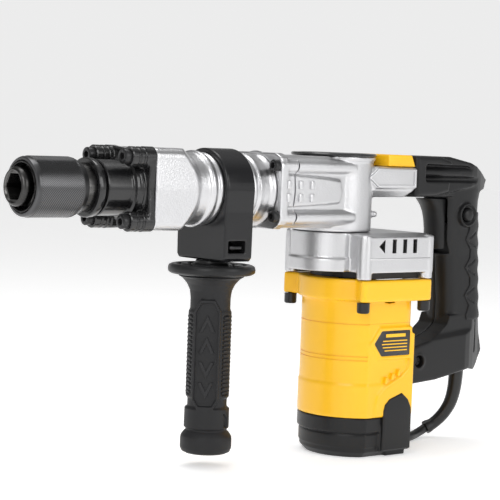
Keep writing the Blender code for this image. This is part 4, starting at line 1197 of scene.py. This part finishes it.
def handle_body(side, name):
    """Roof, grip and foot of one half, tapered towards the back as seen from above."""
    low = side * HALF_GAP
    half = slab(name, ROOF, "Y", low, side * HANDLE_HALF, 1.6)
    add(half, slab("foot", FOOT, "Y", low, side * HANDLE_HALF, 1.2))
    add(half, side_box("lug", side, (29.4, HALF_GAP, 53), (45, 12, 73)))
    shoulder = [(33.2, 224.5), (60, 224.5), (73, 221), (70, 197), (56, 194.2), (33.2, 193.4)]
    add(half, slab("shoulder", shoulder, "Y", side * 8, side * 26, 2.2))
    # along the roof: a long groove with a half-round rib in it
    groove = [(43, 218.6), (96, 217.6), (125, 207.6), (122, 205), (43, 205.4)]
    cut(half, slab("rib_groove", groove, "Y", side * 16.2, side * 30))
    add(half, drum("rib", 3.4, (43, side * 16.6, 212.2), 72, "X", 48))
    # facets: from the roof down to the grip, and from the grip out to the foot's straight band
    grip = loft("grip", [oval(front, back, width, z) for z, front, back, width in GRIP])
    common(grip, side_box("side_room", side, (20, HALF_GAP, 60), (150, 30, 230)))
    cut(half, slab("grip_facet", [(76, 184), (76, 196.5), (92, 200), (110, 203.4), (140, 206),
        (140, 184)], "Y", side * 16, side * 30))
    add(half, grip)
    foot_slope = [(side * 16, 84), (side * 23, 76.5), (side * 23, 110), (side * 16, 110)]
    slope = slab("foot_slope", foot_slope, "X", 30, 145)
    cut(half, turn_about(slope, -5.5, "Y", (50, 0, 80)))
    plan = TAPER + [(x, -y) for x, y in reversed(TAPER)]
    return common(half, slab("plan", plan, "Z", 30, 240))


def hollow_handle(half, side):
    """Room for the switch and its wires, the trigger and the strain relief."""
    room = [(37, 219), (90, 219), (112, 208), (114, 186), (119, 98), (121, 72), (112, 64), (60, 58),
        (60, 72), (82, 83), (92, 96), (89, 148), (86, 156), (84, 198.5), (37, 198.5)]
    cut(half, slab("room", room, "Y", side * -1, side * 12.6))
    cut(half, side_box("trigger_room", side, (55, -1, 149), (90, 12.5, 192.4)),
        drum("boot_room", 6.6, (112, 0, 40), 25, "Z"))


def handle_wells(half, side):
    """The sunk seat of the bracket screw and, on the left, the collar round the lock button."""
    cut(half, drum("screw_well", 4.7, (SCREW_X, min(side * 14, side * 30), SCREW_Z), 16, "Y", 48))
    add(half, lathe("well_rim", [(4.7, side * 16), (6.2, side * 16), (6.2, side * 19.4),
        (5.4, side * 19.7), (4.7, side * 19.4)], (SCREW_X, 0, SCREW_Z), "Y", True))
    if side == LEFT:
        cut(half, drum("button_well", 5.4, (BUTTON_X, -30, BUTTON_Z), 20, "Y", 48))
        add(half, lathe("button_collar", [(5.4, -12), (9.6, -12), (9.4, -19), (8.7, -20.6), (7.9, -20.6),
            (7.4, -18.4), (5.4, -18.2)], (BUTTON_X, 0, BUTTON_Z), "Y", True))


def handle_half(side, name, node):
    half = handle_body(side, name)
    hollow_handle(half, side)
    handle_wells(half, side)
    finished(cast(half, voxel=0.75, rounds=6), DARK_PLASTIC, "housing", "dark_plastic", node)


def rear_handle():
    handle_half(LEFT, "handle_left_moulding", "handle_left")
    handle_half(RIGHT, "handle_right_moulding", "handle_right")
    for side in (LEFT, RIGHT):
        profile = [(0, 14.2), (3.6, 14.2), (3.6, 16), (2.6, 17), (0, 17.2)]
        screw = lathe("screw", [(r, side * y) for r, y in profile], (SCREW_X, 0, SCREW_Z), "Y", steps=48)
        screw.name = "bracket_screw_left" if side == LEFT else "bracket_screw_right"
        for turn in (0, 90):
            bar = box("cross", (-2.2, -1.2, -0.45), (2.2, 1.2, 0.45))
            bar.location = metres(SCREW_X, side * 17.2, SCREW_Z)
            bar.rotation_euler.y = math.radians(turn + 20)
            cut(screw, settle(bar))
        finished(crisp(screw, 0.1, 2), BOLT_BLACK, "housing", "black_metal")


def grip_at(z):
    """Front, back and half-width of the grip at a height."""
    for low, high in zip(GRIP, GRIP[1:]):
        if z <= high[0]:
            part = (z - low[0]) / (high[0] - low[0])
            return [a + (b - a) * part for a, b in zip(low[1:], high[1:])]
    return GRIP[-1][1:]


def rubber_grip():
    """Soft pad round the back of the grip, with finger waves and bent ridges on its flanks."""
    low, height, levels, waves = 96.5, 85, 60, 6
    loops, cores = [], []
    for step in range(levels + 1):
        z = low + height * step / levels
        front, back, width = grip_at(z)
        wave = 0.55 * math.sin(step / levels * 2 * math.pi * waves)
        rim = 0.9 if 0 < step < levels else 0.3
        past_end = {0: -0.5, levels: 0.5}.get(step, 0)
        loops.append(oval(front - rim, back + rim + 0.5 + wave, width + rim, z))
        cores.append(oval(front + 1, back - 1, width - 1, z + past_end))
    pad = loft("rubber_grip_moulding", loops)
    edge = [(102, 178), (106, 184), (140, 184), (140, 90), (106, 90), (103, 100), (106.5, 108),
        (101, 116), (107, 124), (107, 130), (100.5, 138), (106, 146), (106, 152), (99.5, 160), (103, 168)]
    common(pad, slab("pad_edge", edge, "Y", -30, 30))
    cut(pad, drum("button_room", 10.3, (BUTTON_X, -30, BUTTON_Z), 19, "Y", 64))
    for z in (116, 138, 160):
        for slope in (-1, 1):
            groove = [(104, z + slope * 0.3), (113, z + slope * 5.2), (113, z + slope * 6.8),
                (103, z + slope * 2)]
            cutter = slab("flank_groove", groove, "Y", -30, 30)
            core = [oval(front, back + 0.1, width + 0.1, h) for h, front, back, width in GRIP]
            cut(cutter, loft("core", core))
            cut(pad, cutter)
    cut(pad, loft("core", cores))
    finished(cast(pad, voxel=0.5, rounds=2), RUBBER, "housing", "soft_rubber", "rubber_grip")


def trigger():
    levels = [(152.2, 76, 9), (153.4, 75.4, 10), (160, 74.9, 10.4), (168, 74.3, 10.4), (175, 73.2, 10.4),
        (181, 71.5, 10.4), (186, 68.8, 10.4), (189.6, 65.6, 10.4), (191.7, 63.4, 10.2)]
    loops = []
    for z, front, width in levels:
        nose = [(front + 7 * (1 - math.cos(math.radians(angle))), width * math.sin(math.radians(angle)))
            for angle in range(-90, 91, 15)]
        loops.append([(x, y, z) for x, y in nose] + [(81.6, width, z), (81.6, -width, z)])
    pull = loft("trigger_moulding", loops)
    finished(crisp(pull, 0.6, 3, 40), DARK_PLASTIC, "trigger", "dark_plastic", "trigger")


def lock_button():
    profile = [(0, -21.5), (2.4, -21.4), (4, -20.8), (4.7, -19.6), (4.8, -18.2), (4.8, -13), (0, -13)]
    button = lathe("lock_button_turned", profile, (BUTTON_X, 0, BUTTON_Z), "Y")
    finished(crisp(button), DARK_PLASTIC, "lock_button", "dark_plastic", "lock_button")


set_camera()
set_studio()
mains_cord()
tool_nose()
knurled_sleeve()
stop_ring()
front_cover()
front_bolts()
cylinder_housing()
handle_clamp()
grip_guard()
side_grip()
crankcase()
top_cover()
accent_panel()
gear_housing()
motor_housing()
flange_screws()
base_cap()
brush_covers()
label_plate()
rear_handle()
rubber_grip()
trigger()
lock_button()
set_cad_materials()
